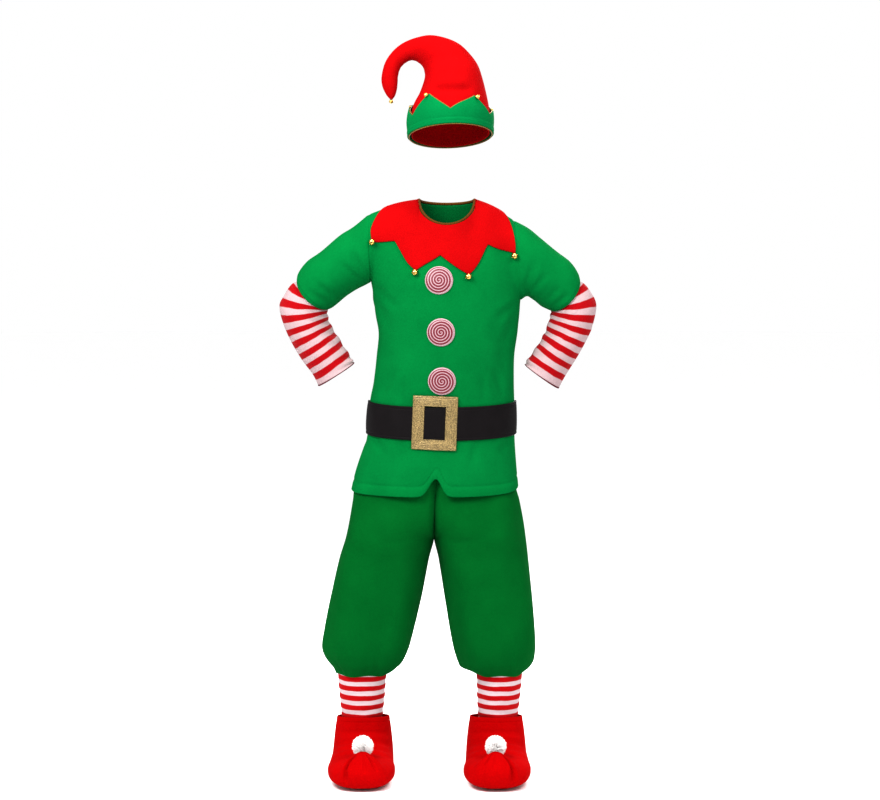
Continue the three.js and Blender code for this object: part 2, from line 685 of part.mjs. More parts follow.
// Hat: rings of the crown, from the lower edge over the curled horn to its end.
const HAT = [
  { outX: 104, outZ: 1373, inX: -63, inZ: 1366, y: 0, depth: 96, lean: 18 },
  { outX: 106, outZ: 1403, inX: -66, inZ: 1398, y: 1, depth: 97, lean: 17 },
  { outX: 103, outZ: 1426, inX: -59, inZ: 1431, y: 3, depth: 89, lean: 14 },
  { outX: 96, outZ: 1461, inX: -45, inZ: 1459, y: 6, depth: 76, lean: 9 },
  { outX: 87, outZ: 1496, inX: -35, inZ: 1490, y: 9, depth: 64, lean: 5 },
  { outX: 78, outZ: 1520, inX: -36, inZ: 1507, y: 11, depth: 55, lean: 3 },
  { outX: 62, outZ: 1542, inX: -39, inZ: 1515, y: 12, depth: 48, lean: 0 },
  { outX: 41, outZ: 1562, inX: -44, inZ: 1521, y: 12, depth: 41, lean: 0 },
  { outX: 14, outZ: 1575, inX: -53, inZ: 1527, y: 12, depth: 35, lean: 0 },
  { outX: -21, outZ: 1582, inX: -62, inZ: 1529, y: 12, depth: 30, lean: 0 },
  { outX: -52, outZ: 1577, inX: -70, inZ: 1527, y: 12, depth: 25, lean: 0 },
  { outX: -80, outZ: 1566, inX: -79, inZ: 1521, y: 12, depth: 21, lean: 0 },
  { outX: -102, outZ: 1549, inX: -86, inZ: 1513, y: 12, depth: 18, lean: 0 },
  { outX: -119, outZ: 1525, inX: -90, inZ: 1503, y: 12, depth: 17, lean: 0 },
  { outX: -127, outZ: 1496, inX: -92, inZ: 1491, y: 12, depth: 16, lean: 0 },
  { outX: -126, outZ: 1475, inX: -93, inZ: 1473, y: 12, depth: 14, lean: 0 },
  { outX: -118, outZ: 1457, inX: -97, inZ: 1456, y: 12, depth: 9.5, lean: 0 },
  { outX: -110, outZ: 1447, inX: -103, inZ: 1446.5, y: 12, depth: 4, lean: 0 },
];
const hatRow = profile(HAT);
const hatPoint = (turn, v) => ringPoint(hatRow(v), turn, RIGHT);
const HAT_COLUMNS = 8;

function onHat(turn, v, height) {
  const normal = normalAt(hatPoint, turn, v, RIGHT);
  return hatPoint(turn, v).addScaledVector(normal, height);
}

function hatPanel(side) {
  const at = (i, j, depth) => {
    const turn = -side * Math.PI * i / HAT_COLUMNS;
    const spot = hatPoint(turn, j);
    const normal = normalAt(hatPoint, turn, j, RIGHT);
    if (i === 0 || i === HAT_COLUMNS) {
      normal.y = 0;
      normal.normalize();
      spot.y += side * SEAM / 2;
    }
    return spot.addScaledVector(normal, -depth);
  };
  return wall({
    columns: HAT_COLUMNS,
    rows: HAT.length - 1,
    outer: (i, j) => at(i, j, 0),
    inner: (i, j) => at(i, j, FLEECE),
  });
}

add('hat_front', hatPanel(FRONT), 'red');
add('hat_back', hatPanel(BACK), 'red');

// Hat brim: a band with five points, how far up the crown its valleys and points reach.
const BRIM = { points: 5, splits: 6, valley: 0.9, peak: 2.15, rows: 3, lift: 1.6 };
const BRIM_COLUMNS = BRIM.points * BRIM.splits;
const FIRST_PEAK = TAU * 0.15;
const PIPING = 1.6;
const HAT_BELL = 5.8;

function brimTop(i) {
  const share = (i % BRIM.splits) / BRIM.splits;
  return mix(BRIM.peak, BRIM.valley, 1 - Math.abs(2 * share - 1));
}

const brimTurn = (i) => FIRST_PEAK + TAU * i / BRIM_COLUMNS;

add('hat_brim', wall({
  columns: BRIM_COLUMNS,
  rows: BRIM.rows,
  outer: (i, j) => onHat(brimTurn(i), brimTop(i) * j / BRIM.rows, BRIM.lift + FELT),
  inner: (i, j) => onHat(brimTurn(i), brimTop(i) * j / BRIM.rows, BRIM.lift),
  round: true,
}), 'green');

// Piping along the brim's points or its lower edge, `off` away from the edge.
function brimPiping(edge, off) {
  const path = [];
  const away = [];
  for (let i = 0; i < BRIM_COLUMNS; i += 1) {
    const turn = brimTurn(i);
    const middle = BRIM.lift + FELT / 2;
    const spot = onHat(turn, edge(i), middle);
    const up = onHat(turn, edge(i) + 0.05, middle).sub(spot).normalize();
    path.push(spot.addScaledVector(up, off));
    away.push(normalAt(hatPoint, turn, edge(i), RIGHT));
  }
  return piping(path, away, PIPING, 4);
}

add('hat_piping_top', brimPiping(brimTop, PIPING + 0.9), 'gold');
add('hat_piping_bottom', brimPiping(() => 0, -PIPING - 0.3), 'gold');

for (let k = 0; k < BRIM.points; k += 1) {
  const height = BRIM.lift + FELT + HAT_BELL + 0.3;
  bell(`hat_bell_${k + 1}`, onHat(brimTurn(k * BRIM.splits), BRIM.peak - 0.12, height), HAT_BELL);
}
const hornEnd = HAT[HAT.length - 1];
const hornMiddle = (hornEnd.outX + hornEnd.inX) / 2;
bell('hat_bell_tip', point(hornMiddle, hornEnd.y, hornEnd.inZ - HAT_BELL + 0.9), HAT_BELL);

// Breeches: outline of each leg by height. Above the crotch the inner point lies beyond the
// centre plane, further and further, until both legs share one ring at the waist.
const GATHERED = 209;
const CROTCH = 507;
const ONE_RING = 640;
const WAIST = 800;
const LEG = {
  [LEFT]: [
    { z: 209, out: 180, in: 73, y: 5, depth: 54 },
    { z: 221, out: 193, in: 46, y: 4, depth: 64 },
    { z: 233, out: 201, in: 39, y: 3, depth: 72 },
    { z: 247, out: 204.5, in: 34, y: 2, depth: 77 },
    { z: 265, out: 206.5, in: 29, y: 1, depth: 81 },
    { z: 300, out: 206, in: 22, y: 0, depth: 84 },
    { z: 372, out: 200, in: 10.5, y: 0, depth: 86 },
    { z: 458, out: 189, in: -4, y: 0, depth: 89 },
    { z: 507, out: 182, in: -16, y: 0, depth: 93 },
    { z: 585, out: 169, in: -16, y: 0, depth: 90 },
    { z: 612, out: 162.5, in: -16, y: 0, depth: 85 },
    { z: 690, out: 155, in: -16, y: 0, depth: 87 },
    { z: 725, out: 154.5, in: -16, y: -1, depth: 86.5 },
    { z: 760, out: 154, in: -16, y: -2, depth: 86 },
    { z: 800, out: 153.5, in: -16, y: -2, depth: 85.5 },
  ],
  [RIGHT]: [
    { z: 209, out: -227, in: -114, y: 5, depth: 54 },
    { z: 221, out: -232, in: -95, y: 4, depth: 64 },
    { z: 233, out: -242, in: -82, y: 3, depth: 72 },
    { z: 247, out: -251, in: -74, y: 2, depth: 77 },
    { z: 265, out: -256.5, in: -67, y: 1, depth: 81 },
    { z: 300, out: -252, in: -58, y: 0, depth: 84 },
    { z: 372, out: -239, in: -43, y: 0, depth: 86 },
    { z: 458, out: -221.5, in: -28, y: 0, depth: 89 },
    { z: 507, out: -207, in: -16, y: 0, depth: 93 },
    { z: 585, out: -191, in: -16, y: 0, depth: 90 },
    { z: 612, out: -187, in: -16, y: 0, depth: 86 },
    { z: 690, out: -162, in: -16, y: 0, depth: 87 },
    { z: 725, out: -153, in: -16, y: -1, depth: 86.5 },
    { z: 760, out: -151, in: -16, y: -2, depth: 86 },
    { z: 800, out: -148, in: -16, y: -2, depth: 85.5 },
  ],
};
const LEG_HEIGHTS = [
  GATHERED, 217, 229, 245, 265, 300, 345, 395, 450, CROTCH, 525, 550, 590, 650, 725, WAIST,
];
const LEG_COLUMNS = 20;

// The largest soft folds of a leg: place from 0 at the centre front, round the outside, to 1.
const LEG_FOLDS = [
  { u: 0.2, width: 0.045, deep: 6, low: 215, peak: 320, high: 560 },
  { u: 0.36, width: 0.04, deep: 5, low: 240, peak: 420, high: 600 },
  { u: 0.64, width: 0.05, deep: 6, low: 215, peak: 330, high: 560 },
  { u: 0.82, width: 0.045, deep: 5, low: 230, peak: 380, high: 600 },
];

function centreLine(z) {
  return -16 + 16 * smoothstep(z, CROTCH, WAIST);
}

function legRow(hand, z) {
  const row = profile(LEG[hand], 'z')(z);
  if (z > CROTCH) {
    const merged = clamp((z - CROTCH) / (ONE_RING - CROTCH), 0, 1) ** 1.2;
    const centre = centreLine(z);
    const whole = profile(LEG[-hand], 'z')(z).out;
    row.in = mix(centre, mix(centre - (row.out - centre), whole, smoothstep(merged, 0.5, 1)), merged);
  }
  return { outX: row.out, outZ: z, inX: row.in, inZ: z, y: row.y, depth: row.depth, lean: 0 };
}

// A point of a leg's outer surface, u from 0 at the front seam round the outside to 1 at the
// back seam, at the height z.
function legPoint(hand, u, z) {
  const row = legRow(hand, z);
  const middle = (row.outX + row.inX) / 2;
  const reach = Math.abs(row.outX - row.inX) / 2;
  const edge = (middle - centreLine(z)) * hand - SEAM / 2;
  const open = z > CROTCH ? Math.acos(clamp(edge / reach, -1, 1)) : 0;
  const seam = Math.max(open, SEAM / 2 / row.depth);
  const turn = (1 - 2 * u) * (Math.PI - seam);
  const fold = foldDepth(LEG_FOLDS, u, z);
  const shrunk = { ...row, outX: row.outX - hand * fold * 0.5, depth: row.depth - fold };
  return ringPoint(shrunk, turn, hand);
}

function leg(hand) {
  const surface = (u, z) => legPoint(hand, u, z);
  const at = (i, j, depth) => {
    const u = i / LEG_COLUMNS;
    const z = LEG_HEIGHTS[j];
    const spot = surface(u, z);
    const along = surface(Math.min(u + 1e-3, 1), z).sub(surface(Math.max(u - 1e-3, 0), z));
    const up = surface(u, Math.min(z + 0.5, WAIST)).sub(surface(u, Math.max(z - 0.5, GATHERED)));
    const normal = along.cross(up).multiplyScalar(hand).normalize();
    return spot.addScaledVector(normal, -depth);
  };
  return wall({
    columns: LEG_COLUMNS,
    rows: LEG_HEIGHTS.length - 1,
    outer: (i, j) => at(i, j, 0),
    inner: (i, j) => at(i, j, FLEECE),
  });
}

// Stockings: from inside the hem of the breeches down into the shoe.
const STOCKING = { tuckZ: 250, tuckLike: 240, tuckIn: 24, ankleZ: 150, endZ: 98 };
const STOCKING_END = {
  [LEFT]: { out: 165, in: 82, y: 3.3, depth: 43 },
  [RIGHT]: { out: -214, in: -129, y: 2.6, depth: 43 },
};
const STOCKING_STATIONS = [0, 0.6, 1, 2, 3];

// Shoe covers: rings from the opening round the heel and along the foot to the curled toe. The
// upper line runs down the front and along the instep, the lower line down the heel and under
// the foot. Forward is measured from the middle of the leg, and `flat` squares the underside.
const SHOE = [
  { topF: 46, topZ: 119, lowF: -60, lowZ: 121, half: 57, flat: 0, shift: 0 },
  { topF: 49, topZ: 97, lowF: -63, lowZ: 84, half: 58, flat: 0, shift: 0 },
  { topF: 57, topZ: 79, lowF: -64, lowZ: 42, half: 59, flat: 0.3, shift: 0 },
  { topF: 74, topZ: 69, lowF: -54, lowZ: 6, half: 60, flat: 0.8, shift: 0 },
  { topF: 94, topZ: 64, lowF: -14, lowZ: 3.3, half: 63, flat: 1, shift: 0 },
  { topF: 116, topZ: 60, lowF: 40, lowZ: 3.3, half: 67, flat: 1, shift: 0 },
  { topF: 138, topZ: 60, lowF: 92, lowZ: 3.3, half: 71, flat: 1, shift: 1 },
  { topF: 158, topZ: 60, lowF: 136, lowZ: 3.6, half: 69, flat: 0.9, shift: 2 },
  { topF: 169, topZ: 61.5, lowF: 170, lowZ: 8, half: 61, flat: 0.7, shift: 3 },
  { topF: 175, topZ: 63, lowF: 193, lowZ: 21, half: 51, flat: 0.4, shift: 4 },
  { topF: 178, topZ: 67, lowF: 205, lowZ: 42, half: 39, flat: 0, shift: 5 },
  { topF: 179, topZ: 73, lowF: 204, lowZ: 62, half: 26, flat: 0, shift: 6 },
  { topF: 180, topZ: 78, lowF: 196, lowZ: 75, half: 12, flat: 0, shift: 6 },
];
const SHOE_X = { [LEFT]: 120, [RIGHT]: -169 };
const SHOE_COLUMNS = 16;
const TOE_TIP = { back: 1.5, up: 4, wall: 1.4 };   // end of the curl beyond the last ring
const SOLE_EDGE = [
  { f: -52, half: 22 },
  { f: -46, half: 38 },
  { f: -20, half: 47 },
  { f: 40, half: 51 },
  { f: 95, half: 56 },
  { f: 125, half: 52 },
  { f: 145, half: 38 },
  { f: 152, half: 20 },
];
const POMPOM = { radius: 24.5, core: 17, f: 153.5, z: 83.4, shift: 5 };

function shoePoint(hand, turn, v) {
  const row = profile(SHOE)(v);
  const c = Math.cos(turn);
  const s = Math.sin(turn);
  const power = mix(1, 0.62, c < 0 ? clamp(row.flat, 0, 1) : 0);
  const up = Math.sign(c) * Math.abs(c) ** power;
  const wide = Math.sign(s) * Math.abs(s) ** power;
  return point(
    SHOE_X[hand] - hand * row.shift + row.half * wide,
    -(row.topF + row.lowF + (row.topF - row.lowF) * up) / 2,
    (row.topZ + row.lowZ + (row.topZ - row.lowZ) * up) / 2,
  );
}

function shoeUpper(hand) {
  const surface = (turn, v) => shoePoint(hand, turn, clamp(v, 0, SHOE.length - 1));
  const end = SHOE[SHOE.length - 1];
  const at = (i, j, depth) => {
    if (j === SHOE.length) {
      const f = (end.topF + end.lowF) / 2 - TOE_TIP.back;
      const z = (end.topZ + end.lowZ) / 2 + TOE_TIP.up - depth * TOE_TIP.wall;
      return point(SHOE_X[hand] - hand * end.shift, -f, z);
    }
    const turn = TAU * (i + 0.5) / SHOE_COLUMNS;
    return surface(turn, j).addScaledVector(normalAt(surface, turn, j, -1), -depth);
  };
  return wall({
    columns: SHOE_COLUMNS,
    rows: SHOE.length,
    outer: (i, j) => at(i, j, 0),
    inner: (i, j) => at(i, j, FELT),
    round: true,
    tip: true,
  });
}

function sole(hand) {
  const edge = SOLE_EDGE.map(({ f, half }) => new THREE.Vector2(half, -f));
  const other = [...SOLE_EDGE].reverse().map(({ f, half }) => new THREE.Vector2(-half, -f));
  const shape = new THREE.Shape([...edge, ...other]);
  const plate = new THREE.ExtrudeGeometry(shape, { depth: FELT, bevelEnabled: false });
  plate.translate(SHOE_X[hand], 0, 0);
  return plate;
}

// Pompom: a round backing whose 80 short locks of yarn stand apart, each with three sides.
function pompom(hand) {
  const core = new THREE.IcosahedronGeometry(1, 1).getAttribute('position');
  const centre = point(SHOE_X[hand] - hand * POMPOM.shift, -POMPOM.f, POMPOM.z);
  const vertices = [];
  const faces = [];
  for (let k = 0; k < core.count; k += 3) {
    const root = [k, k + 1, k + 2].map((n) => point(core.getX(n), core.getY(n), core.getZ(n)));
    root.forEach((corner) => corner.multiplyScalar(POMPOM.core));
    const end = root[0].clone().add(root[1]).add(root[2]).setLength(POMPOM.radius);
    const base = vertices.length;
    vertices.push(...[...root, end].map((vertex) => vertex.add(centre)));
    for (let n = 0; n < 3; n += 1) faces.push([base + n, base + (n + 1) % 3, base + 3]);
  }
  return closed(vertices, faces);
}

// A level ring between two given ones, at the height z.
function levelRing(a, b, share, z) {
  const row = { outZ: z, inZ: z, lean: 0 };
  for (const name of ['outX', 'inX', 'y', 'depth']) row[name] = mix(a[name], b[name], share);
  return row;
}

function stocking(hand) {
  const gathered = legRow(hand, GATHERED);
  const like = inset(legRow(hand, STOCKING.tuckLike), STOCKING.tuckIn);
  const end = { ...STOCKING_END[hand], outX: STOCKING_END[hand].out, inX: STOCKING_END[hand].in };
  const rings = [
    levelRing(like, like, 0, STOCKING.tuckZ),
    inset(gathered, FLEECE + TUCK.gap),
    levelRing(inset(gathered, FLEECE + TUCK.gap), end, 0.5, STOCKING.ankleZ),
    levelRing(end, end, 0, STOCKING.endZ),
  ];
  return tube(rings, hand, AROUND_SLEEVE, STOCKING_STATIONS, JERSEY);
}

for (const [hand, name] of [[LEFT, 'left'], [RIGHT, 'right']]) {
  add(`breeches_${name}`, leg(hand), 'darkGreen');
  add(`stocking_${name}`, stocking(hand), 'stripe');
  add(`shoe_${name}`, shoeUpper(hand), 'shoeRed');
  add(`shoe_${name}_sole`, sole(hand), 'shoeRed');
  add(`pompom_${name}`, pompom(hand), 'white');
}

costume.position.set(-NECK.x, -NECK.y, -NECK.z);

const part = new THREE.Group();
part.add(costume);

export default part;
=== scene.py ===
"""Elf costume in the form it has when worn: hat, tunic, belt, breeches, stockings, shoe covers.

Shapes are written in millimetres from the floor that the shoes stand on, as in the part's own
source, and moved so that the middle of the neck opening is the origin.
"""
import math

import bmesh
import bpy
import numpy as np
from mathutils import Euler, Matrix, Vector


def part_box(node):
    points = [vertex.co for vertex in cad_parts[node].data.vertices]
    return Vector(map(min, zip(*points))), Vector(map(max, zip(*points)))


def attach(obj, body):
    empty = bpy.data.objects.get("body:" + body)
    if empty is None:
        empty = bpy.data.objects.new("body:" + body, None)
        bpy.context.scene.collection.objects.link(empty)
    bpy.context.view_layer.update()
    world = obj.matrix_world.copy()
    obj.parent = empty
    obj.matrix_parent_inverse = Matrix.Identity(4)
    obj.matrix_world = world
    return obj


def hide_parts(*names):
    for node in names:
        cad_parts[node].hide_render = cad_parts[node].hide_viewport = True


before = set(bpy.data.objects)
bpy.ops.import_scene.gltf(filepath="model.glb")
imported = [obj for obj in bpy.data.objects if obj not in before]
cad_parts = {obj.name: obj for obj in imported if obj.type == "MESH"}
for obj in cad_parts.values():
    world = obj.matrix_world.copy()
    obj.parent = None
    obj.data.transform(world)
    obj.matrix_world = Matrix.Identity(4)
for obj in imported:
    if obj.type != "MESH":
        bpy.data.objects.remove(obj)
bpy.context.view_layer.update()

bl_info = {
    "name": "Elf costume",
    "version": (1, 0, 0),
    "blender": (4, 5, 0),
    "location": "View3D > Sidebar > Costume",
    "description": "Builds a worn elf costume, piece by piece, round its rigid part",
    "category": "Object",
}

NECK = np.array([12.0, 0.0, 1210.0])
MM = 0.001
TAU = 2 * math.pi
FRONT, BACK = -1, 1
LEFT, RIGHT = 1, -1
SIDES = ((LEFT, "left"), (RIGHT, "right"))
FLEECE, JERSEY, FELT = 2.0, 1.5, 3.0


# Curves and surfaces, in millimetres from the floor

def smoothstep(x, low, high):
    t = np.clip((np.asarray(x, float) - low) / (high - low), 0, 1)
    return t * t * (3 - 2 * t)


def mix(a, b, t):
    return a + (b - a) * t


def stack(x, y, z):
    return np.stack(np.broadcast_arrays(x, y, z), axis=-1).astype(float)


def unit(v):
    return v / np.maximum(np.linalg.norm(v, axis=-1, keepdims=True), 1e-9)


def crest(x, place, width):
    """A soft ridge's height, from 0 to 1: highest at its place, gone two widths away."""
    return np.exp(-(((x - place) / width) ** 2))


def even(low, high, count):
    return np.linspace(low, high, count)


def joined(*runs):
    """Even steps through several stretches, each given as low, high and count."""
    return np.concatenate([even(*run)[min(k, 1):] for k, run in enumerate(runs)])


def curves(rows, at=None):
    """Smooth curves through a table's rows: a function of the place along them."""
    rows = np.array(rows, float)
    n = len(rows)
    at = np.arange(n, dtype=float) if at is None else np.array(at, float)
    before = np.maximum(np.arange(n) - 1, 0)
    after = np.minimum(np.arange(n) + 1, n - 1)
    slope = (rows[after] - rows[before]) / (at[after] - at[before])[:, None]

    def value(x):
        x = np.asarray(x, float)
        k = np.clip(np.searchsorted(at, x, side="left") - 1, 0, n - 2)
        step = (at[k + 1] - at[k])[..., None]
        t = (x - at[k])[..., None] / step
        return (
            (2 * t**3 - 3 * t**2 + 1) * rows[k]
            + (t**3 - 2 * t**2 + t) * step * slope[k]
            + (3 * t**2 - 2 * t**3) * rows[k + 1]
            + (t**3 - t**2) * step * slope[k + 1]
        )

    return value


def ring_point(row, turn, hand):
    """A point of a ring seen edge on, between an outer and an inner point of the outline."""
    out_x, out_z, in_x, in_z, y, depth, lean = np.moveaxis(np.asarray(row, float), -1, 0)
    across_x, across_z = out_x - in_x, out_z - in_z
    shift = hand * lean * np.sin(turn) / np.hypot(across_x, across_z)
    return stack(
        (out_x + in_x + across_x * np.cos(turn)) / 2 + across_z * shift,
        y - depth * np.sin(turn),
        (out_z + in_z + across_z * np.cos(turn)) / 2 - across_x * shift,
    )


def inset(row, by):
    """The same ring, smaller all round."""
    out_x, out_z, in_x, in_z, y, depth, lean = row
    share = by / math.hypot(out_x - in_x, out_z - in_z)
    return (
        mix(out_x, in_x, share), mix(out_z, in_z, share),
        mix(in_x, out_x, share), mix(in_z, out_z, share), y, depth - by, lean,
    )


def slopes(grid, round_cloth):
    """Direction square to a grid of points, by rows and columns."""
    if round_cloth:
        across = np.roll(grid, -1, 1) - np.roll(grid, 1, 1)
    else:
        across = np.gradient(grid, axis=1)
    return unit(np.cross(across, np.gradient(grid, axis=0)))


def sunk(grid, dip, sense, round_cloth=True):
    """A grid of points pressed into the cloth by a depth at each point."""
    return grid - slopes(grid, round_cloth) * sense * dip[..., None]


# Sleeve rings: outer x and z, inner x and z, y, depth, lean
SLEEVE = {
    LEFT: [
        (157, 1187, 171, 1017, 0, 57, 0), (187, 1171, 186, 1025, 2, 58, 2),
        (213, 1150, 200, 1017, 4, 58, 5), (247, 1122, 216, 1004, 6, 57, 9),
        (275, 1101, 228, 998, 8, 55, 13), (291, 1079, 234, 995.5, 9, 51, 17),
        (296, 1062, 238, 995, 10, 47, 18),
    ],
    RIGHT: [
        (-155, 1200, -150, 1056, 0, 57, 0), (-187, 1174, -163, 1049, 2, 58, 2),
        (-217, 1155, -181, 1040, 4, 58, 5), (-256, 1122, -203, 1026, 6, 57, 9),
        (-286, 1101, -222, 1010, 8, 55, 13), (-304, 1078, -234, 1001, 9, 51, 17),
        (-307, 1061, -242, 998, 10, 47, 18),
    ],
}
STRIPED = {
    LEFT: [
        (308, 1052, 240, 992, 10, 46, 16), (322, 1035, 238, 983, 10, 49, 14),
        (334, 1007, 234, 974, 9, 50, 13), (326, 963, 226, 949, 8, 50, 12),
        (317, 940, 218, 935, 6, 49, 9), (296, 900, 202, 910, 3, 46, 6),
        (268, 855, 187, 890, 0, 43, 4), (254, 829, 181, 879, -1, 43, 3),
    ],
    RIGHT: [
        (-322, 1050, -246, 993, 10, 46, 16), (-338, 1026, -245, 982, 10, 49, 14),
        (-347, 1005, -241, 968, 9, 50, 13), (-339, 968, -230, 948, 8, 50, 12),
        (-322, 928, -216, 928, 6, 49, 9), (-299, 889, -200, 903, 3, 46, 6),
        (-276, 858, -191, 889, 0, 43, 4), (-264, 834, -187, 883, -1, 43, 3),
    ],
}

# Body of the tunic: height, right and left half widths, front and back depths
BODY = [
    (590, -198, 170, 108, 110), (650, -184, 164, 101, 103), (700, -167, 160, 94, 94),
    (720, -159, 159, 92.5, 90), (760, -156, 158.5, 92, 88.5), (805, -152, 158, 92.5, 88),
    (840, -145, 157, 95, 89), (900, -138, 158, 99, 92), (950, -134, 165, 101, 96),
    (1000, -142, 170, 101, 100), (1060, -151, 172, 99, 101),
]
body_row = curves([row[1:] for row in BODY], [row[0] for row in BODY])

# Soft folds: place across, half width, how deep, and the heights where one starts, peaks and ends
TUNIC_FOLDS = {
    FRONT: [
        (0, 0.1, 8, 500, 610, 715), (-0.5, 0.14, 5, 480, 600, 712), (0.55, 0.13, 5, 480, 600, 712),
        (-0.68, 0.1, 4, 805, 850, 960), (0.6, 0.1, 5, 805, 870, 1000),
    ],
    BACK: [
        (-0.55, 0.15, 6, 480, 600, 715), (0.1, 0.14, 7, 480, 600, 715),
        (0.6, 0.13, 6, 480, 600, 715), (-0.4, 0.12, 5, 805, 860, 990),
        (0.35, 0.12, 5, 805, 860, 980),
    ],
}
LEG_FOLDS = [
    (0.2, 0.045, 6, 215, 320, 560), (0.36, 0.04, 5, 240, 420, 600),
    (0.64, 0.05, 6, 215, 330, 560), (0.82, 0.045, 5, 230, 380, 600),
]
HEM = {"front": 603, "right": 9, "left": 18, "notch": 38, "notch_width": 0.06}
NECK_U, NECK_X, NECK_HALF, NECK_Z = 0.42, 12.5, 62, 1229
NECK_DEEP = {FRONT: 66, BACK: 47}
NECK_DROP = {FRONT: 55, BACK: 8}
SHOULDER_RISE = 4


def fold_depth(folds, u, z):
    depth = 0
    for place, width, deep, low, peak, high in folds:
        height = smoothstep(z, low, peak) * (1 - smoothstep(z, peak, high))
        depth = depth + deep * height * crest(u, place, width)
    return depth


def hem_height(side, u):
    notch = HEM["notch"] * crest(u, 0, HEM["notch_width"]) if side == FRONT else 0
    return HEM["front"] + np.where(u < 0, HEM["right"], HEM["left"]) * u**4 + notch


def armpit_height(u):
    across = (1 + np.sin(np.clip(u, -1, 1) * math.pi / 2)) / 2
    return mix(SLEEVE[RIGHT][0][3], SLEEVE[LEFT][0][3], across)


def body_point(side, u, z):
    right, left, front, back = np.moveaxis(body_row(z), -1, 0)
    angle = u * math.pi / 2
    deep = (front if side == FRONT else back) * np.cos(angle)
    deep = deep - fold_depth(TUNIC_FOLDS[side], u, z)
    return stack((left + right) / 2 + (left - right) / 2 * np.sin(angle), side * deep, z)


def top_edge(side, u):
    """Top edge of a tunic panel: the neckline in the middle and a shoulder seam each side."""
    out = np.abs(u)
    angle = np.clip(u / NECK_U, -1, 1) * math.pi / 2
    cosine = np.maximum(np.cos(angle), 0)
    neck = stack(
        NECK_X + NECK_HALF * np.sin(angle), side * NECK_DEEP[side] * cosine,
        NECK_Z - NECK_DROP[side] * cosine**0.95,
    )
    share = np.clip((out - NECK_U) / (1 - NECK_U), 0, 1)
    arm_x = np.where(u < 0, SLEEVE[RIGHT][0][0], SLEEVE[LEFT][0][0])
    arm_z = np.where(u < 0, SLEEVE[RIGHT][0][1], SLEEVE[LEFT][0][1])
    shoulder = stack(
        mix(NECK_X + np.sign(u) * NECK_HALF, arm_x, share), 0 * u,
        mix(NECK_Z, arm_z, share) + SHOULDER_RISE * np.sin(math.pi * share),
    )
    return np.where((out <= NECK_U)[..., None], neck, shoulder)


def soft_top(side, u, rise):
    """The top edge as the cloth below feels it, with its corners eased."""
    reach = 0.07 * smoothstep(1 - rise, 0, 0.3) * smoothstep(1 - np.abs(u), 0, 0.25)
    shares = ((-2, 1), (-1, 2), (0, 3), (1, 2), (2, 1))
    return sum(share * top_edge(side, np.clip(u + k * reach, -1, 1)) for k, share in shares) / 9


def armhole(side, hand, rise):
    ring = ring_point(SLEEVE[hand][0], math.pi * (1 - rise), hand)
    ring[..., 1] *= -side
    return ring


def tunic(side, u, v):
    """Outer surface of a tunic panel: u from -1 right to 1 left, v from 0 hem, 1 armpit, 2 top."""
    u, v = np.broadcast_arrays(np.asarray(u, float), np.asarray(v, float))
    armpit = armpit_height(u)
    lower = body_point(side, u, mix(hem_height(side, u), armpit, np.minimum(v, 1)))
    rise = np.clip(v - 1, 0, 1)
    out = np.minimum(np.abs(u), 1)
    shoulder = smoothstep(out, 0.1, 0.6)
    low, top = body_point(side, u, armpit), soft_top(side, u, rise)
    up = mix(rise, np.sin(rise * math.pi / 2), shoulder)[..., None]
    over = mix(rise**1.6, 1 - np.cos(rise * math.pi / 2), shoulder)[..., None]
    upper = mix(low, top, np.concatenate([up, over, up], axis=-1))
    edge_up = np.sin(rise * math.pi / 2)
    for hand in (RIGHT, LEFT):
        edge = SLEEVE[hand][0]
        straight = stack(mix(edge[2], edge[0], edge_up), 0, mix(edge[3], edge[1], edge_up))
        pull = np.where(u * hand > 0, out**3, 0)[..., None]
        upper = upper + (armhole(side, hand, rise) - straight) * pull
    return np.where((v <= 1)[..., None], lower, upper)


def tunic_normal(side, u, v, step=2e-3):
    def at(a, b):
        return tunic(side, np.clip(a, -1, 1), np.clip(b, 0, 2))
    along_u = at(u + step, v) - at(u - step, v)
    along_v = at(u, v + step) - at(u, v - step)
    return unit(np.cross(along_u, along_v)) * -side


def on_tunic(side, u, v, height):
    """A point at a height over a tunic panel, level with the seam at the shoulders."""
    normal = tunic_normal(side, u, v)
    seam = (v > 1.999) & (np.abs(u) >= NECK_U - 1e-6)
    normal[..., 1] = np.where(seam, 0, normal[..., 1])
    height = np.broadcast_to(height, u.shape)[..., None]
    return tunic(side, u, v) + unit(normal) * height


def front_place(x, z):
    """Place on the front panel that lies at x and z, by Newton's method."""
    u, v, step = np.zeros_like(x), np.full_like(x, 0.9), 1e-4
    for _ in range(12):
        at = tunic(FRONT, u, v)
        du = (tunic(FRONT, u + step, v) - at) / step
        dv = (tunic(FRONT, u, v + step) - at) / step
        det = du[..., 0] * dv[..., 2] - dv[..., 0] * du[..., 2]
        miss_x, miss_z = x - at[..., 0], z - at[..., 2]
        u = np.clip(u + (miss_x * dv[..., 2] - dv[..., 0] * miss_z) / det, -1, 1)
        v = np.clip(v + (du[..., 0] * miss_z - miss_x * du[..., 2]) / det, 0, 2)
    return u, v


# Meshes

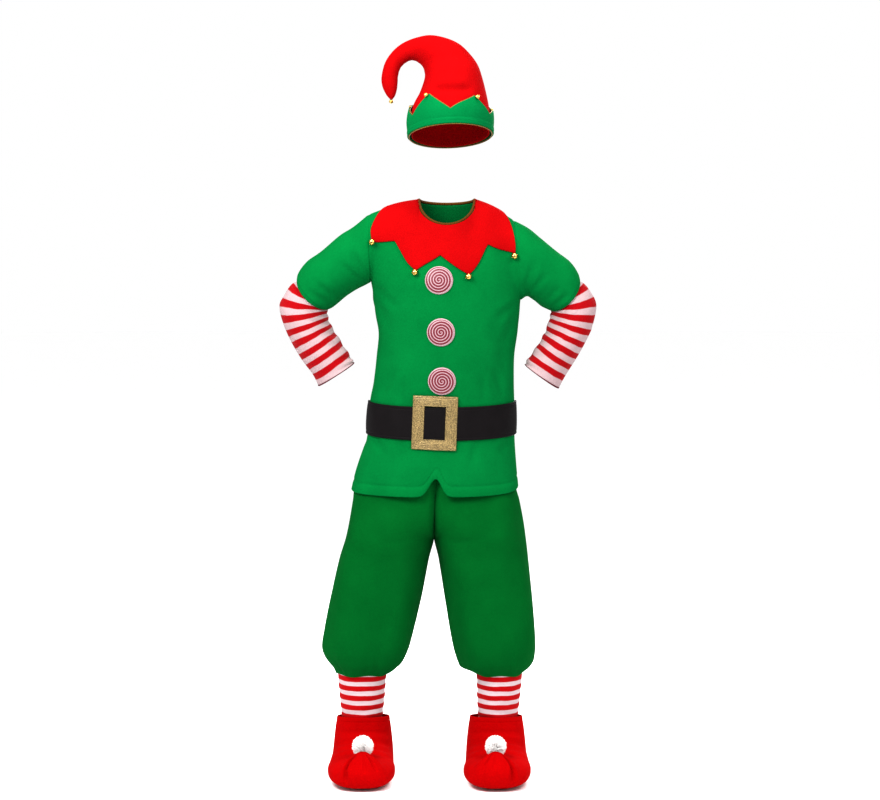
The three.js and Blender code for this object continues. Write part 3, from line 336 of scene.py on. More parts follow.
def mesh_object(name, points, faces, corner_uv=None):
    """An object at the origin from points in millimetres, with a map on its face corners."""
    mesh = bpy.data.meshes.new(name)
    placed = (np.asarray(points, float) - NECK) * MM
    mesh.from_pydata(placed.tolist(), [], [list(face) for face in faces])
    if corner_uv is not None:
        layer = mesh.uv_layers.new(name="cloth")
        layer.data.foreach_set("uv", np.asarray(corner_uv, np.float32).ravel())
    mesh.validate()
    mesh.polygons.foreach_set("use_smooth", [True] * len(mesh.polygons))
    mesh.update()
    thing = bpy.data.objects.new(name, mesh)
    bpy.context.scene.collection.objects.link(thing)
    return thing


def face_outwards(thing):
    """Turns a closed mesh's faces outwards."""
    form = bmesh.new()
    form.from_mesh(thing.data)
    if form.calc_volume(signed=True) < 0:
        bmesh.ops.reverse_faces(form, faces=form.faces)
    form.to_mesh(thing.data)
    form.free()
    return thing


def cloth(name, outer, thick, uv, round_cloth=True, sense=1, bulge=0.45, capped=False):
    """A closed piece of cloth: its outer grid of points, an inner one, and rounded edges.

    The grid has a row for each step along the piece. A round cloth's last column joins its
    first, and a capped one is closed at its last row, as a toe is."""
    rows, columns = outer.shape[:2]
    normal = slopes(outer, round_cloth) * sense
    thick = np.broadcast_to(thick, (rows, columns))[..., None]
    inner = outer - normal * thick
    low = (outer[0] + inner[0]) / 2 + unit(outer[0] - outer[1]) * thick[0] * bulge
    high = (outer[-1] + inner[-1]) / 2 + unit(outer[-1] - outer[-2]) * thick[-1] * bulge
    layers = [*outer, *([] if capped else [high]), *inner[::-1], low]
    maps = [*uv, *([] if capped else [uv[-1]]), *uv[::-1], uv[0]]
    points = np.concatenate(layers)
    lines = len(layers)
    index = np.arange(lines * columns).reshape(lines, columns)
    index = np.vstack([index, index[:1]])
    maps = np.array([*maps, maps[0]])
    if round_cloth:
        index = np.hstack([index, index[:, :1]])
    skip = rows - 1 if capped else None
    faces, corner_uv = [], []
    for j in range(lines):
        if j == skip:
            continue
        a, b = index[j], index[j + 1]
        ma, mb = maps[j], maps[j + 1]
        for i in range(index.shape[1] - 1):
            faces.append((a[i], a[i + 1], b[i + 1], b[i]))
            corner_uv += [ma[i], ma[i + 1], mb[i + 1], mb[i]]
    if capped:
        for line, back in ((rows - 1, False), (rows, True)):
            ring = index[line, :columns]
            faces.append(tuple(ring[::-1] if back else ring))
            corner_uv += [maps[line][0]] * columns
    if not round_cloth:
        for i in (0, columns - 1):
            for j in range(rows - 1):
                a, b = index[j, i], index[j + 1, i]
                c, d = index[2 * rows - 1 - j, i], index[2 * rows - j, i]
                face = (a, b, c, d) if i == 0 else (d, c, b, a)
                faces.append(face)
                corner_uv += [maps[j][i]] * 4
            for j, rest in ((0, (lines - 1, lines - 2)), (rows - 1, (rows, rows + 1))):
                face = (index[j, i], index[rest[0], i], index[rest[1], i])
                faces.append(face if (i == 0) != (j == 0) else face[::-1])
                corner_uv += [maps[j][i]] * 3
    return face_outwards(mesh_object(name, points, faces, corner_uv))


def metre_map(outer, round_cloth=True):
    """A cloth's own map in metres: across from its middle, and along from its first row."""
    closed = np.concatenate([outer, outer[:, :1]], axis=1) if round_cloth else outer
    across = np.linalg.norm(np.diff(closed, axis=1), axis=-1)
    middle = across[len(across) // 2]
    u = np.concatenate([[0], np.cumsum(middle)])
    along = np.linalg.norm(np.diff(closed, axis=0), axis=-1).mean(axis=1)
    v = np.concatenate([[0], np.cumsum(along)])
    return np.stack(np.meshgrid(u, v), axis=-1) * MM


def cord_ring(name, path, away, radius, sides=10):
    """A cord of piping round a closed path, square to the directions away from the cloth."""
    along = unit(np.roll(path, -1, 0) - np.roll(path, 1, 0))
    side = unit(np.cross(along, away))
    up = np.cross(side, along)
    angle = (np.arange(sides) / sides * TAU)[None, :, None]
    radius = np.broadcast_to(radius, len(path))[:, None, None]
    points = path[:, None] + (up[:, None] * np.cos(angle) + side[:, None] * np.sin(angle)) * radius
    n = len(path)
    length = np.concatenate([[0], np.cumsum(np.linalg.norm(np.roll(path, -1, 0) - path, axis=1))])
    faces, corner_uv = [], []
    for k in range(n):
        for s in range(sides):
            a, b = k * sides + s, k * sides + (s + 1) % sides
            c, d = (k + 1) % n * sides + (s + 1) % sides, (k + 1) % n * sides + s
            faces.append((a, b, c, d))
            for kk, ss in ((k, s), (k, s + 1), (k + 1, s + 1), (k + 1, s)):
                corner_uv.append((ss / sides, length[kk] * MM))
    return face_outwards(mesh_object(name, points.reshape(-1, 3), faces, corner_uv))


# Materials

def linear(colour):
    """A colour as the shader takes it, from the property's values as they look."""
    return (*((c / 12.92 if c < 0.04045 else ((c + 0.055) / 1.055) ** 2.4) for c in colour[:3]), 1)


class Finish:
    """A material under construction: nodes are added by kind, with values or sockets as inputs."""

    def __init__(self, name):
        self.material = bpy.data.materials.new(name)
        self.material.use_nodes = True
        self.tree = self.material.node_tree
        self.shader = self.tree.nodes["Principled BSDF"]
        self.coordinates = self.tree.nodes.new("ShaderNodeTexCoord")

    def add(self, kind, inputs=(), **settings):
        node = self.tree.nodes.new("ShaderNode" + kind)
        for key, value in settings.items():
            setattr(node, key, value)
        for key, value in dict(inputs).items():
            self.put(node.inputs[key], value)
        return node

    def put(self, socket, value):
        if isinstance(value, bpy.types.NodeSocket):
            self.tree.links.new(value, socket)
        else:
            socket.default_value = value

    def noise(self, scale, detail, rough):
        place = self.coordinates.outputs["Object"]
        values = {"Vector": place, "Scale": scale, "Detail": detail, "Roughness": rough}
        return self.add("TexNoise", values).outputs["Fac"]

    def ramp(self, factor, stops):
        node = self.add("ValToRGB", {"Fac": factor})
        elements = node.color_ramp.elements
        while len(elements) < len(stops):
            elements.new(0.5)
        for element, (place, colour) in zip(elements, stops):
            element.position = place
            element.color = colour
        return node.outputs["Color"]

    def mask(self, factor, low, high):
        return self.ramp(factor, ((low, (0, 0, 0, 1)), (high, (1, 1, 1, 1))))

    def toned(self, factor, colour, darker, lighter, low=0.3, high=0.7):
        """A colour that a factor takes from its darker tone to its lighter one."""
        dark, light = tones(colour, darker, lighter)
        return self.ramp(factor, ((low, dark), (high, light)))

    def cloth_map(self):
        """The two numbers of the piece's own map."""
        return self.add("SeparateXYZ", {0: self.coordinates.outputs["UV"]}).outputs[:2]

    def maths(self, operation, *values):
        return self.add("Math", dict(enumerate(values)), operation=operation).outputs[0]

    def blend(self, factor, a, b):
        return self.add("Mix", {0: factor, 6: a, 7: b}, data_type="RGBA").outputs[2]

    def bump(self, height, distance, strength=1.0, below=None):
        values = {"Height": height, "Distance": distance, "Strength": strength}
        if below:
            values["Normal"] = below
        return self.add("Bump", values).outputs["Normal"]

    def surface(self, colour, normal, **values):
        self.put(self.shader.inputs["Base Color"], colour)
        if normal:
            self.put(self.shader.inputs["Normal"], normal)
        for key, value in values.items():
            self.shader.inputs[key.replace("_", " ")].default_value = value
        return self.material


def tones(colour, darker, lighter):
    base = np.array(linear(colour)[:3])
    dark = tuple(base * darker) + (1,)
    light = tuple(np.minimum(base * lighter + 0.004 * (lighter - 1), 1)) + (1,)
    return dark, light


def fleece(name, colour, nap=1.0, sheen=0.02):
    """Napped fleece: short brushed fibres with faint clouds where the nap lies another way."""
    f = Finish(name)
    dark, light = tones(colour, 0.80, 1.16)
    clouds = f.noise(16, 3, 0.55)
    fibres = f.noise(1100, 3, 0.7)
    tufts = f.noise(330, 2, 0.6)
    shade = f.maths("MULTIPLY_ADD", fibres, 0.45, f.maths("MULTIPLY", clouds, 0.35))
    shade = f.maths("MULTIPLY_ADD", tufts, 0.2, shade)
    base = f.ramp(shade, ((0.30, dark), (0.70, light)))
    normal = f.bump(tufts, 0.0009 * nap, 0.5)
    normal = f.bump(fibres, 0.0006 * nap, 0.6, normal)
    return f.surface(base, normal, Roughness=0.92, Sheen_Weight=sheen, Sheen_Roughness=0.45,
                     Sheen_Tint=light, Specular_IOR_Level=0.02)


def striped_jersey(name, red, white, run):
    """Knitted jersey with red and white rings; the map's second number counts the rings."""
    f = Finish(name)
    across, rings = f.cloth_map()
    wobble = f.noise(90, 2, 0.5)
    sway = f.noise(24, 1, 0.5)
    ring = f.maths("MULTIPLY_ADD", f.maths("SUBTRACT", wobble, 0.5), 0.08, rings)
    ring = f.maths("MULTIPLY_ADD", f.maths("SUBTRACT", sway, 0.5), 0.35, ring)
    wave = f.maths("PINGPONG", f.maths("SUBTRACT", ring, 0.5), 1.0)
    stitches = f.noise(700, 3, 0.65)
    reds = f.toned(stitches, red, 0.80, 1.1)
    whites = f.toned(stitches, white, 0.86, 1.0)
    wales = f.maths("SINE", f.maths("MULTIPLY", across, TAU / run))
    courses = f.maths("SINE", f.maths("MULTIPLY", rings, TAU * 7))
    knit = f.maths("MULTIPLY_ADD", wales, 0.6, f.maths("MULTIPLY", courses, 0.3))
    normal = f.bump(knit, 0.00035, 0.6)
    normal = f.bump(stitches, 0.0004, 0.5, normal)
    base = f.blend(f.mask(wave, 0.48, 0.58), reds, whites)
    return f.surface(base, normal, Roughness=0.88, Sheen_Weight=0.03, Specular_IOR_Level=0.05)


def swirl(name, light, dark, turns):
    """Printed satin with a spiral; the map runs from -1 to 1 over the disc."""
    f = Finish(name)
    x, y = f.cloth_map()
    angle = f.maths("DIVIDE", f.maths("ARCTAN2", y, x), TAU)
    reach = f.maths("SQRT", f.maths("MULTIPLY_ADD", x, x, f.maths("MULTIPLY", y, y)))
    turned = f.maths("MULTIPLY_ADD", reach, turns, angle)
    wave = f.maths("PINGPONG", f.maths("MULTIPLY", turned, 2.0), 1.0)
    thread = f.noise(900, 2, 0.6)
    pale = f.toned(thread, light, 0.86, 1.05, 0.35, 0.65)
    rose = f.toned(thread, dark, 0.80, 1.25, 0.35, 0.65)
    base = f.blend(f.mask(wave, 0.54, 0.70), rose, pale)
    base = f.blend(f.mask(reach, 0.90, 0.93), base, tones(light, 0.86, 1.05)[1])
    normal = f.bump(thread, 0.0003, 0.4)
    return f.surface(base, normal, Roughness=0.5, Sheen_Weight=0.1, Specular_IOR_Level=0.4)


def glitter(name, colour):
    """Gold glitter cloth: small flakes, each with its own bump height and its own painted glint,
    between fine threads.
    """
    f = Finish(name)
    place = f.coordinates.outputs["Object"]
    flakes = f.add("TexVoronoi", {"Vector": place, "Scale": 900.0}, feature="F1")
    spread = f.add("SeparateXYZ", {0: flakes.outputs["Color"]})
    # Painted glints: each flake's colour runs from dark to bright, as light would catch it
    dark, light = tones(colour, 0.42, 1.5)
    base = f.ramp(spread.outputs[0], ((0.1, dark), (0.5, linear(colour)), (0.95, light)))
    height = f.maths("ADD", spread.outputs[1], f.noise(500, 2, 0.6))
    normal = f.bump(height, 0.0006, 0.7)
    return f.surface(base, normal, Roughness=0.42, Metallic=0.45, Specular_IOR_Level=0.6)


def brass(name, colour):
    """Thin polished brass with faint cloudy wear."""
    f = Finish(name)
    wear = f.noise(260, 3, 0.6)
    base = f.toned(wear, colour, 0.78, 1.1, 0.35, 0.65)
    return f.surface(base, f.bump(wear, 0.0002, 0.25), Roughness=0.22, Metallic=1.0)


def plain_cloth(
    name, colour, scale=800, distance=0.0004, rough=0.8, sheen=0.02, run=0.0, shine=0.2,
):
    """Plain woven or felted cloth; `run` above nought gives a cord its twisted strands."""
    f = Finish(name)
    grain = f.noise(scale, 3, 0.6)
    clouds = f.noise(30, 2, 0.5)
    shade = f.maths("MULTIPLY_ADD", grain, 0.6, f.maths("MULTIPLY", clouds, 0.4))
    base = f.toned(shade, colour, 0.72, 1.2, 0.32, 0.68)
    normal = f.bump(grain, distance, 0.6)
    if run:
        around, along = f.cloth_map()
        twist = f.maths("MULTIPLY_ADD", along, TAU / run, f.maths("MULTIPLY", around, TAU * 2))
        normal = f.bump(f.maths("SINE", twist), 0.0004, 0.8, normal)
    return f.surface(base, normal, Roughness=rough, Sheen_Weight=sheen, Specular_IOR_Level=shine)


def stage_finish(name, colour):
    return Finish(name).surface(linear(colour), None, Roughness=0.95, Specular_IOR_Level=0.05)


def dress(thing, material, nodes):
    """Gives a finished piece its material and body, and hides the nodes that it stands for."""
    thing.data.materials.clear()
    thing.data.materials.append(material)
    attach(thing, "root")
    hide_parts(*nodes)
    return thing


# Properties: what a user would change

def colour_property(name, words, value):
    return bpy.props.FloatVectorProperty(
        name=name, description=words, default=value, subtype="COLOR", size=3, min=0, max=1)


class CostumeColours(bpy.types.PropertyGroup):
    tunic: colour_property("Tunic", "Green fleece of tunic and sleeves", (0.0, 0.385, 0.19))
    # Painted shade: the breeches are the tunic's fleece, given a darker green for the weaker light
    # low down
    breeches: colour_property("Breeches", "Green fleece of the breeches", (0.0, 0.32, 0.125))
    brim: colour_property("Brim", "Green felt of the hat's brim", (0.0, 0.4, 0.22))
    hat: colour_property("Hat", "Red fleece of hat and collar", (0.555, 0.015, 0.028))
    shoe: colour_property("Shoes", "Red felt of the shoe covers", (0.6, 0.0, 0.008))
    stripe_red: colour_property("Red stripe", "Red rings of the jersey", (0.54, 0.015, 0.05))
    stripe_white: colour_property("White stripe", "White rings of the jersey", (0.63, 0.55, 0.558))
    stocking_red: colour_property("Red ring", "Red rings of the stockings", (0.62, 0.02, 0.055))
    stocking_white: colour_property(
        "White ring", "White rings of the stockings", (0.73, 0.665, 0.68))
    cuff: colour_property("Cuff edge", "Narrow edge of the striped sleeves", (0.3, 0.05, 0.1))
    belt: colour_property("Belt", "Black band", (0.06, 0.045, 0.052))
    # Middle gold of the buckle; its finish paints each flake lighter or darker as a painted glint
    buckle: colour_property("Buckle", "Gold glitter cloth", (0.5, 0.43, 0.28))
    piping: colour_property("Piping", "Gold piping of the brim", (0.46, 0.36, 0.15))
    binding: colour_property("Neck binding", "Dull gold piping round the neck", (0.34, 0.22, 0.08))
    bell: colour_property("Bells", "Brass of the bells", (0.8, 0.67, 0.38))
    # Painted shade: the slots' dark colour stands for the shade of the hollow inside a bell
    slot: colour_property("Bell slots", "Dark inside of the bells", (0.10, 0.07, 0.03))
    button_light: colour_property("Swirl, light", "Pale line of the buttons", (0.59, 0.49, 0.51))
    button_dark: colour_property("Swirl, dark", "Rose line of the buttons", (0.35, 0.02, 0.105))
    pompom: colour_property("Pompoms", "White yarn", (0.9, 0.89, 0.885))
    floor: colour_property("Floor", "Plain pale floor", (1.0, 1.0, 1.0))


def length_property(name, words, value):
    return bpy.props.FloatProperty(name=name, description=words, default=value, unit="LENGTH")


class CostumeSizes(bpy.types.PropertyGroup):
    hem_band: length_property("Hem", "Height of the tunic's stitched hem", 0.021)
    seam_dip: length_property("Seam", "How far cloth dips into a seam", 0.0013)
    swirl_turns: bpy.props.FloatProperty(
        name="Swirl turns", description="Turns of the spiral on a button", default=5.2)
    knit_run: length_property("Knit", "Width of one rib of the jersey", 0.0022)
    camera_distance: length_property("Camera distance", "From the costume's middle", 4.2)
    camera_height: length_property("Camera height", "Over the floor", 1.05)
    camera_tilt: bpy.props.FloatProperty(
        name="Camera tilt", description="How far it looks down", default=math.radians(3.38),
        subtype="ANGLE")


def colours():
    return bpy.context.scene.costume_colours


def sizes():
    return bpy.context.scene.costume_sizes


def rgb(name):
    return tuple(getattr(colours(), name))


def finish_of(name, make, *values, **more):
    """A named material, made once."""
    name = "costume_" + name
    return bpy.data.materials.get(name) or make(name, *values, **more)


def deselect():
    if bpy.context.object and bpy.context.object.mode != "OBJECT":
        bpy.ops.object.mode_set(mode="OBJECT")
    bpy.ops.object.select_all(action="DESELECT")


# Tunic

# Places up a tunic panel, close together at the hem
TUNIC_ROWS = joined((0, 0.09, 26), (0.09, 0.5, 42), (0.5, 1, 50), (1, 2, 86))
TUNIC_COLUMNS = joined((-1, -0.9, 12), (-0.9, 0.9, 96), (0.9, 1, 12))

WRINKLES = {
    # x and z of both ends, half width, how deep
    FRONT: [
        (-150, 1052, -92, 1000, 9, 2.0), (-148, 1040, -110, 960, 10, 2.0),
        (168, 1012, 118, 978, 9, 2.0), (166, 1000, 136, 925, 10, 2.2),
        (-130, 812, -96, 868, 7, 2.0), (-88, 800, -80, 850, 7, 1.6),
        (96, 806, 84, 858, 7, 1.6), (134, 812, 112, 872, 7, 2.0),
        (-150, 742, -120, 690, 8, 1.8), (-88, 724, -76, 676, 8, 1.5),
        (150, 742, 128, 690, 8, 1.8), (76, 724, 64, 668, 8, 1.5),
    ],
    BACK: [
        (-146, 1045, -90, 985, 9, 2.4), (160, 1010, 100, 960, 9, 2.4),
        (-60, 806, -52, 868, 8, 2.2), (10, 804, 6, 872, 8, 2.2), (74, 806, 64, 866, 8, 2.2),
        (-90, 732, -80, 672, 8, 1.8), (-20, 728, -18, 664, 8, 1.8), (60, 730, 52, 668, 8, 1.8),
    ],
}


WRINKLE_STRENGTH = 1.4
HEM_STITCH = {"width": 3.4, "depth": 1.0, "puff": 1.3}


def wrinkle_depth(lines, points):
    """How far soft wrinkles, each along a line seen from the front, sink into the cloth."""
    depth = np.zeros(points.shape[:-1])
    for x0, z0, x1, z1, width, deep in lines:
        dx, dz = x1 - x0, z1 - z0
        length = math.hypot(dx, dz)
        px, pz = points[..., 0] - x0, points[..., 2] - z0
        t = (px * dx + pz * dz) / length**2
        off = (px * dz - pz * dx) / length
        taper = smoothstep(t, -0.15, 0.35) * (1 - smoothstep(t, 0.65, 1.15))
        trough = crest(off, 0, width) - 0.5 * crest(off, 1.8 * width, width)
        depth += WRINKLE_STRENGTH * deep * taper * trough
    return depth


def seam_dip():
    return sizes().seam_dip / MM


def tunic_cloth(side, u, v):
    """The dressed tunic's surface: the panel with its wrinkles, hem and seams."""
    points = tunic(side, u, v)
    out, hem = np.abs(u), sizes().hem_band / MM
    above_hem = points[..., 2] - hem_height(side, u)
    stitches = HEM_STITCH["depth"] * crest(above_hem, hem, HEM_STITCH["width"])
    puff = np.sin(np.clip(above_hem / hem, 0, 1) * math.pi) * (1 - smoothstep(out, 0.86, 0.98))
    seam = np.maximum(smoothstep(out, 0.955, 1.0), smoothstep(v, 1.955, 2.0) * (out > NECK_U))
    dip = wrinkle_depth(WRINKLES[side], points) + seam_dip() * seam
    dip = dip + np.where(v <= 1, stitches - HEM_STITCH["puff"] * puff, 0)
    return points - tunic_normal(side, u, v) * dip[..., None]


def tunic_panel(side, word):
    outer = tunic_cloth(side, *np.meshgrid(TUNIC_COLUMNS, TUNIC_ROWS))
    return cloth("tunic_panel_" + word, outer, FLEECE, metre_map(outer, False), round_cloth=False,
                 sense=-side)


class COSTUME_OT_tunic(bpy.types.Operator):
    """Front and back panels of the green fleece tunic, with hem, seams and soft folds"""

    bl_idname = "costume.tunic"
    bl_label = "Tunic"

    def execute(self, context):
        green = finish_of("tunic_fleece", fleece, rgb("tunic"))
        for side, word in ((FRONT, "front"), (BACK, "back")):
            panel = dress(tunic_panel(side, word), green, ["tunic_" + word])
        return {"FINISHED"}


# Sleeves

SLEEVE_FOLDS = {
    RIGHT: [
        (-160, 1062, -190, 1120, 8, 2.2), (-172, 1056, -214, 1096, 7, 1.8),
        (-232, 1022, -262, 1052, 8, 1.8), (-246, 1012, -282, 1036, 7, 1.6),
    ],
    LEFT: [
        (176, 1024, 196, 1096, 8, 2.2), (186, 1030, 226, 1074, 7, 1.8),
        (222, 1010, 250, 1046, 8, 1.8), (236, 1004, 272, 1030, 7, 1.6),
    ],
}


def tube_grid(rows, hand, around, stations):
    turn = math.pi + TAU * np.arange(around) / around
    grid_turn, grid_v = np.meshgrid(turn, stations)
    return ring_point(curves(rows)(grid_v), grid_turn, hand), grid_turn, grid_v


class COSTUME_OT_sleeves(bpy.types.Operator):
    """Puffed green upper sleeves, each turned under at its hem"""

    bl_idname = "costume.sleeves"
    bl_label = "Upper sleeves"

    def execute(self, context):
        green = finish_of("tunic_fleece", fleece, rgb("tunic"))
        stations = joined((0, 0.4, 10), (0.4, 5.2, 66), (5.2, 6, 22))
        for hand, word in SIDES:
            outer, _, v = tube_grid(SLEEVE[hand], hand, 108, stations)
            dip = wrinkle_depth(SLEEVE_FOLDS[hand], outer)
            dip += seam_dip() * (1 - smoothstep(v, 0, 0.12))
            dip += crest(v, 5.35, 0.05) + 1.2 * smoothstep(v, 5.8, 6.0)
            outer = sunk(outer, dip, hand)
            thing = cloth("upper_sleeve_" + word, outer, FLEECE, metre_map(outer), sense=hand)
            dress(thing, green, ["sleeve_" + word])
        return {"FINISHED"}


def striped_rows(hand):
    """Rings of a striped sleeve, from where it is sewn inside the puffed one to the cuff."""
    tucked = curves(SLEEVE[hand])(5.2)
    return [inset(tuple(tucked), 8), inset(SLEEVE[hand][-1], FLEECE + 1.1), *STRIPED[hand]]


# Edges of the rings, red and white in turn: x and z on the outer line and on the inner line
RING_EDGES = {
    RIGHT: [
        (-320, 1055, -256, 1008), (-329, 1042, -252, 1003), (-341, 1023.5, -249.5, 998.5),
        (-349, 1006, -249, 995.8), (-344, 985.5, -249, 993.3), (-339, 969.5, -247.9, 987.9),
        (-333.5, 953, -244, 980.4), (-327.7, 940.5, -243, 974), (-322, 928, -240.8, 963.6),
        (-314.3, 914.5, -239.1, 956.8), (-306.6, 901, -230.5, 947.1), (-299, 890, -226.6, 938.5),
        (-291.3, 878, -218.4, 928.2), (-283.8, 868.6, -212.2, 918.9),
        (-275.8, 858.8, -203.2, 906.7), (-270, 846.2, -197.6, 897.5), (-262, 834, -189, 885),
    ],
    LEFT: [
        (307.7, 1054.6, 247, 1008), (317, 1043, 245, 1003.5), (329.2, 1024, 241, 1000),
        (336.5, 1005, 240, 996), (332.4, 985.6, 239.7, 992.2), (328.5, 968.6, 239, 984.7),
        (322.5, 954.4, 237, 976.5), (317.8, 942.6, 235.2, 969.5), (310.2, 926.5, 232.2, 960),
        (305.5, 914.9, 230.3, 951.2), (297.6, 900.9, 223.6, 944.3), (291.5, 890.5, 218.9, 933.5),
        (282.7, 877.2, 211.6, 922.8), (277.4, 867.7, 206.2, 914.8), (268.8, 855.7, 195.4, 901.3),
        (263.4, 845, 190, 892), (256, 829, 181.2, 879.8),
    ],
}


def ring_count(hand, points):
    """How many ring edges lie before a point of the sleeve, counted from the shoulder."""
    gaps = []
    for out_x, out_z, in_x, in_z in RING_EDGES[hand]:
        along = np.array([out_x - in_x, out_z - in_z]) / math.hypot(out_x - in_x, out_z - in_z)
        off = (points[..., 0] - in_x) * along[1] - (points[..., 2] - in_z) * along[0]
        gaps.append(off * hand)
    count = 0
    for before, after in zip(gaps, gaps[1:]):
        count = count + np.clip(before / np.maximum(before - after, 1), 0, 1)
    return count - np.clip(-gaps[0] / 13, 0, 3)


class COSTUME_OT_striped_sleeves(bpy.types.Operator):
    """Striped jersey lower sleeves, round the bent elbows, with a dark edge at the cuff"""

    bl_idname = "costume.striped_sleeves"
    bl_label = "Striped sleeves"

    def execute(self, context):
        jersey = finish_of("striped_jersey", striped_jersey, rgb("stripe_red"), rgb("stripe_white"),
                           sizes().knit_run)
        maroon = finish_of("cuff_edge", plain_cloth, rgb("cuff"))
        stations = joined((0, 1, 8), (1, 8.96, 104))
        for hand, word in SIDES:
            rows = striped_rows(hand)
            outer, turn, v = tube_grid(rows, hand, 96, stations)
            inside = (1 - np.cos(turn)) / 2
            ease = 1.3 * np.sin(v * 5.2 + 1.5 * np.sin(turn)) * inside**2
            outer = sunk(outer, ease * smoothstep(v, 1.5, 2.5), hand)
            uv = metre_map(outer)
            count = ring_count(hand, outer) - 0.22 * np.sin(turn)
            uv[..., 1] = np.concatenate([count, count[:, :1]], axis=1)
            thing = cloth("lower_sleeve_" + word, outer, JERSEY, uv, sense=hand)
            dress(thing, jersey, ["striped_sleeve_" + word])
            edge, _, _ = tube_grid(rows, hand, 96, even(8.955, 9.07, 5))
            swell = slopes(edge, True) * hand * np.array([0, 0.6, 0.8, 0.6, 0])[:, None, None]
            cuff = cloth("cuff_edge_" + word, edge + swell, 2.0, metre_map(edge), sense=hand)
            dress(cuff, maroon, ["cuff_binding_" + word])
        return {"FINISHED"}


# Collar

# Edge of the collar: x and z on the front, or u and v over the shoulders, the place on the
# neckline that it hangs from, and whether it is a corner
COLLAR_FRONT = [
    (-138, 1140, -0.75, 0), (-118, 1141, -0.68, 0), (-97, 1142, -0.58, 1), (-86, 1124, -0.5, 0),
    (-71, 1098, -0.4, 0), (-52, 1080, -0.3, 1), (-27, 1096, -0.16, 0), (-1, 1112, -0.04, 1),
    (29, 1089, 0.1, 0), (58, 1071, 0.24, 1), (75, 1090, 0.33, 0), (89, 1116, 0.42, 0),
    (98, 1134, 0.52, 1), (114, 1128, 0.6, 0), (135, 1122, 0.7, 0),
]
COLLAR_SHOULDER = {
    RIGHT: [
        (-0.78, 2, -1, 1), (-0.9, 1.78, -0.93, 0), (-0.965, 1.66, -0.86, 0), (-0.96, 1.55, -0.8, 1),
    ],
    LEFT: [(0.95, 1.52, 0.8, 1), (0.97, 1.62, 0.86, 0), (0.93, 1.76, 0.93, 0), (0.81, 2, 1, 1)],
}


def collar_rows():
    """The whole edge across one panel: u, v, place on the neckline and whether it is a corner."""
    x, z, hung, corner = np.array(COLLAR_FRONT, float).T
    u, v = front_place(x, z)
    front = np.stack([u, v, hung, corner], axis=1)
    return np.vstack([COLLAR_SHOULDER[RIGHT], front, COLLAR_SHOULDER[LEFT]])


def collar_edge(steps):
    """Edge of the collar across one panel, curved between its corners."""
    rows = collar_rows()
    corners = np.flatnonzero(rows[:, 3])
    edge = []
    for a, b in zip(corners, corners[1:]):
        line = curves(rows[a:b + 1, :3])
        edge.extend(line(np.linspace(0, b - a, steps * (b - a) + 1))[:-1])
    edge.append(rows[-1, :3])
    return np.array(edge)


def collar_tips():
    """Middles of the bells that hang on the collar's points."""
    tips = []
    for u, v, _, corner in collar_rows()[1:-1]:
        if corner and (v < 1.3 or abs(u) > 0.9):
            for side in (FRONT, BACK):
                spot = on_tunic(side, np.array([u]), np.array([v]), 7.0)[0]
                tips.append(spot + np.array([-1.5 if abs(u) < 0.5 else 0, 0, -5.5]))
    return tips


class COSTUME_OT_collar(bpy.types.Operator):
    """Red fleece collar with eight points, and the dull gold piping round the neck"""

    bl_idname = "costume.collar"
    bl_label = "Collar"

    def execute(self, context):
        red = finish_of("red_fleece", fleece, rgb("hat"))
        edge = collar_edge(10)
        out = joined((0, 0.9, 22), (0.9, 1, 7))[:, None]
        lift = 3.6 + 0.5 * np.sin(out * math.pi) - 0.5 * smoothstep(out, 0.93, 1)
        halves = []
        for side, line in ((FRONT, edge), (BACK, edge[::-1])):
            edge_u, edge_v, hung = line[:-1].T
            u, v = mix(hung * NECK_U, edge_u, out), mix(2.0, edge_v, out)
            points = on_tunic(side, u, v, lift + 0 * u)
            dip = 0.5 * wrinkle_depth(WRINKLES[side], points)
            halves.append(points - tunic_normal(side, u, v) * dip[..., None])
        outer = np.concatenate(halves, axis=1)
        thing = cloth("pointed_collar", outer, 2.2, metre_map(outer), sense=-1)
        dress(thing, red, ["collar"])
        self.binding()
        return {"FINISHED"}

    def binding(self):
        """Piping round the neck, just inside the collar and a little over its edge."""
        gold = finish_of("neck_cord", plain_cloth, rgb("binding"), rough=0.85, run=0.004,
                         shine=0.02)
        angle = TAU * np.arange(180) / 180
        u = NECK_U * np.arcsin(np.sin(angle)) / (math.pi / 2)
        path = np.where((np.cos(angle) >= 0)[:, None], top_edge(FRONT, u), top_edge(BACK, u))
        deep = np.where(path[:, 1] < 0, NECK_DEEP[FRONT], NECK_DEEP[BACK])
        inwards = unit(stack((NECK_X - path[:, 0]) / NECK_HALF**2, -path[:, 1] / deep**2, 0 * u))
        path = path + inwards * np.array([2.8, 1.0, 0]) + np.array([0, 0, 3.2])
        away = np.tile([0.0, 0.0, 1.0], (180, 1))
        for _ in range(4):
            path = (np.roll(path, 1, 0) + 2 * path + np.roll(path, -1, 0)) / 4
        thing = cord_ring("neck_cord", path, away, 2.9)
        return dress(thing, gold, ["neck_binding"])


# Buttons, belt and buckle

BUTTONS = [(-4, 1059), (0, 950), (2, 847)]
BUTTON = {"radius": 29.5, "base": 1.0, "wall": 4.0, "crown": 1.0, "around": 72}


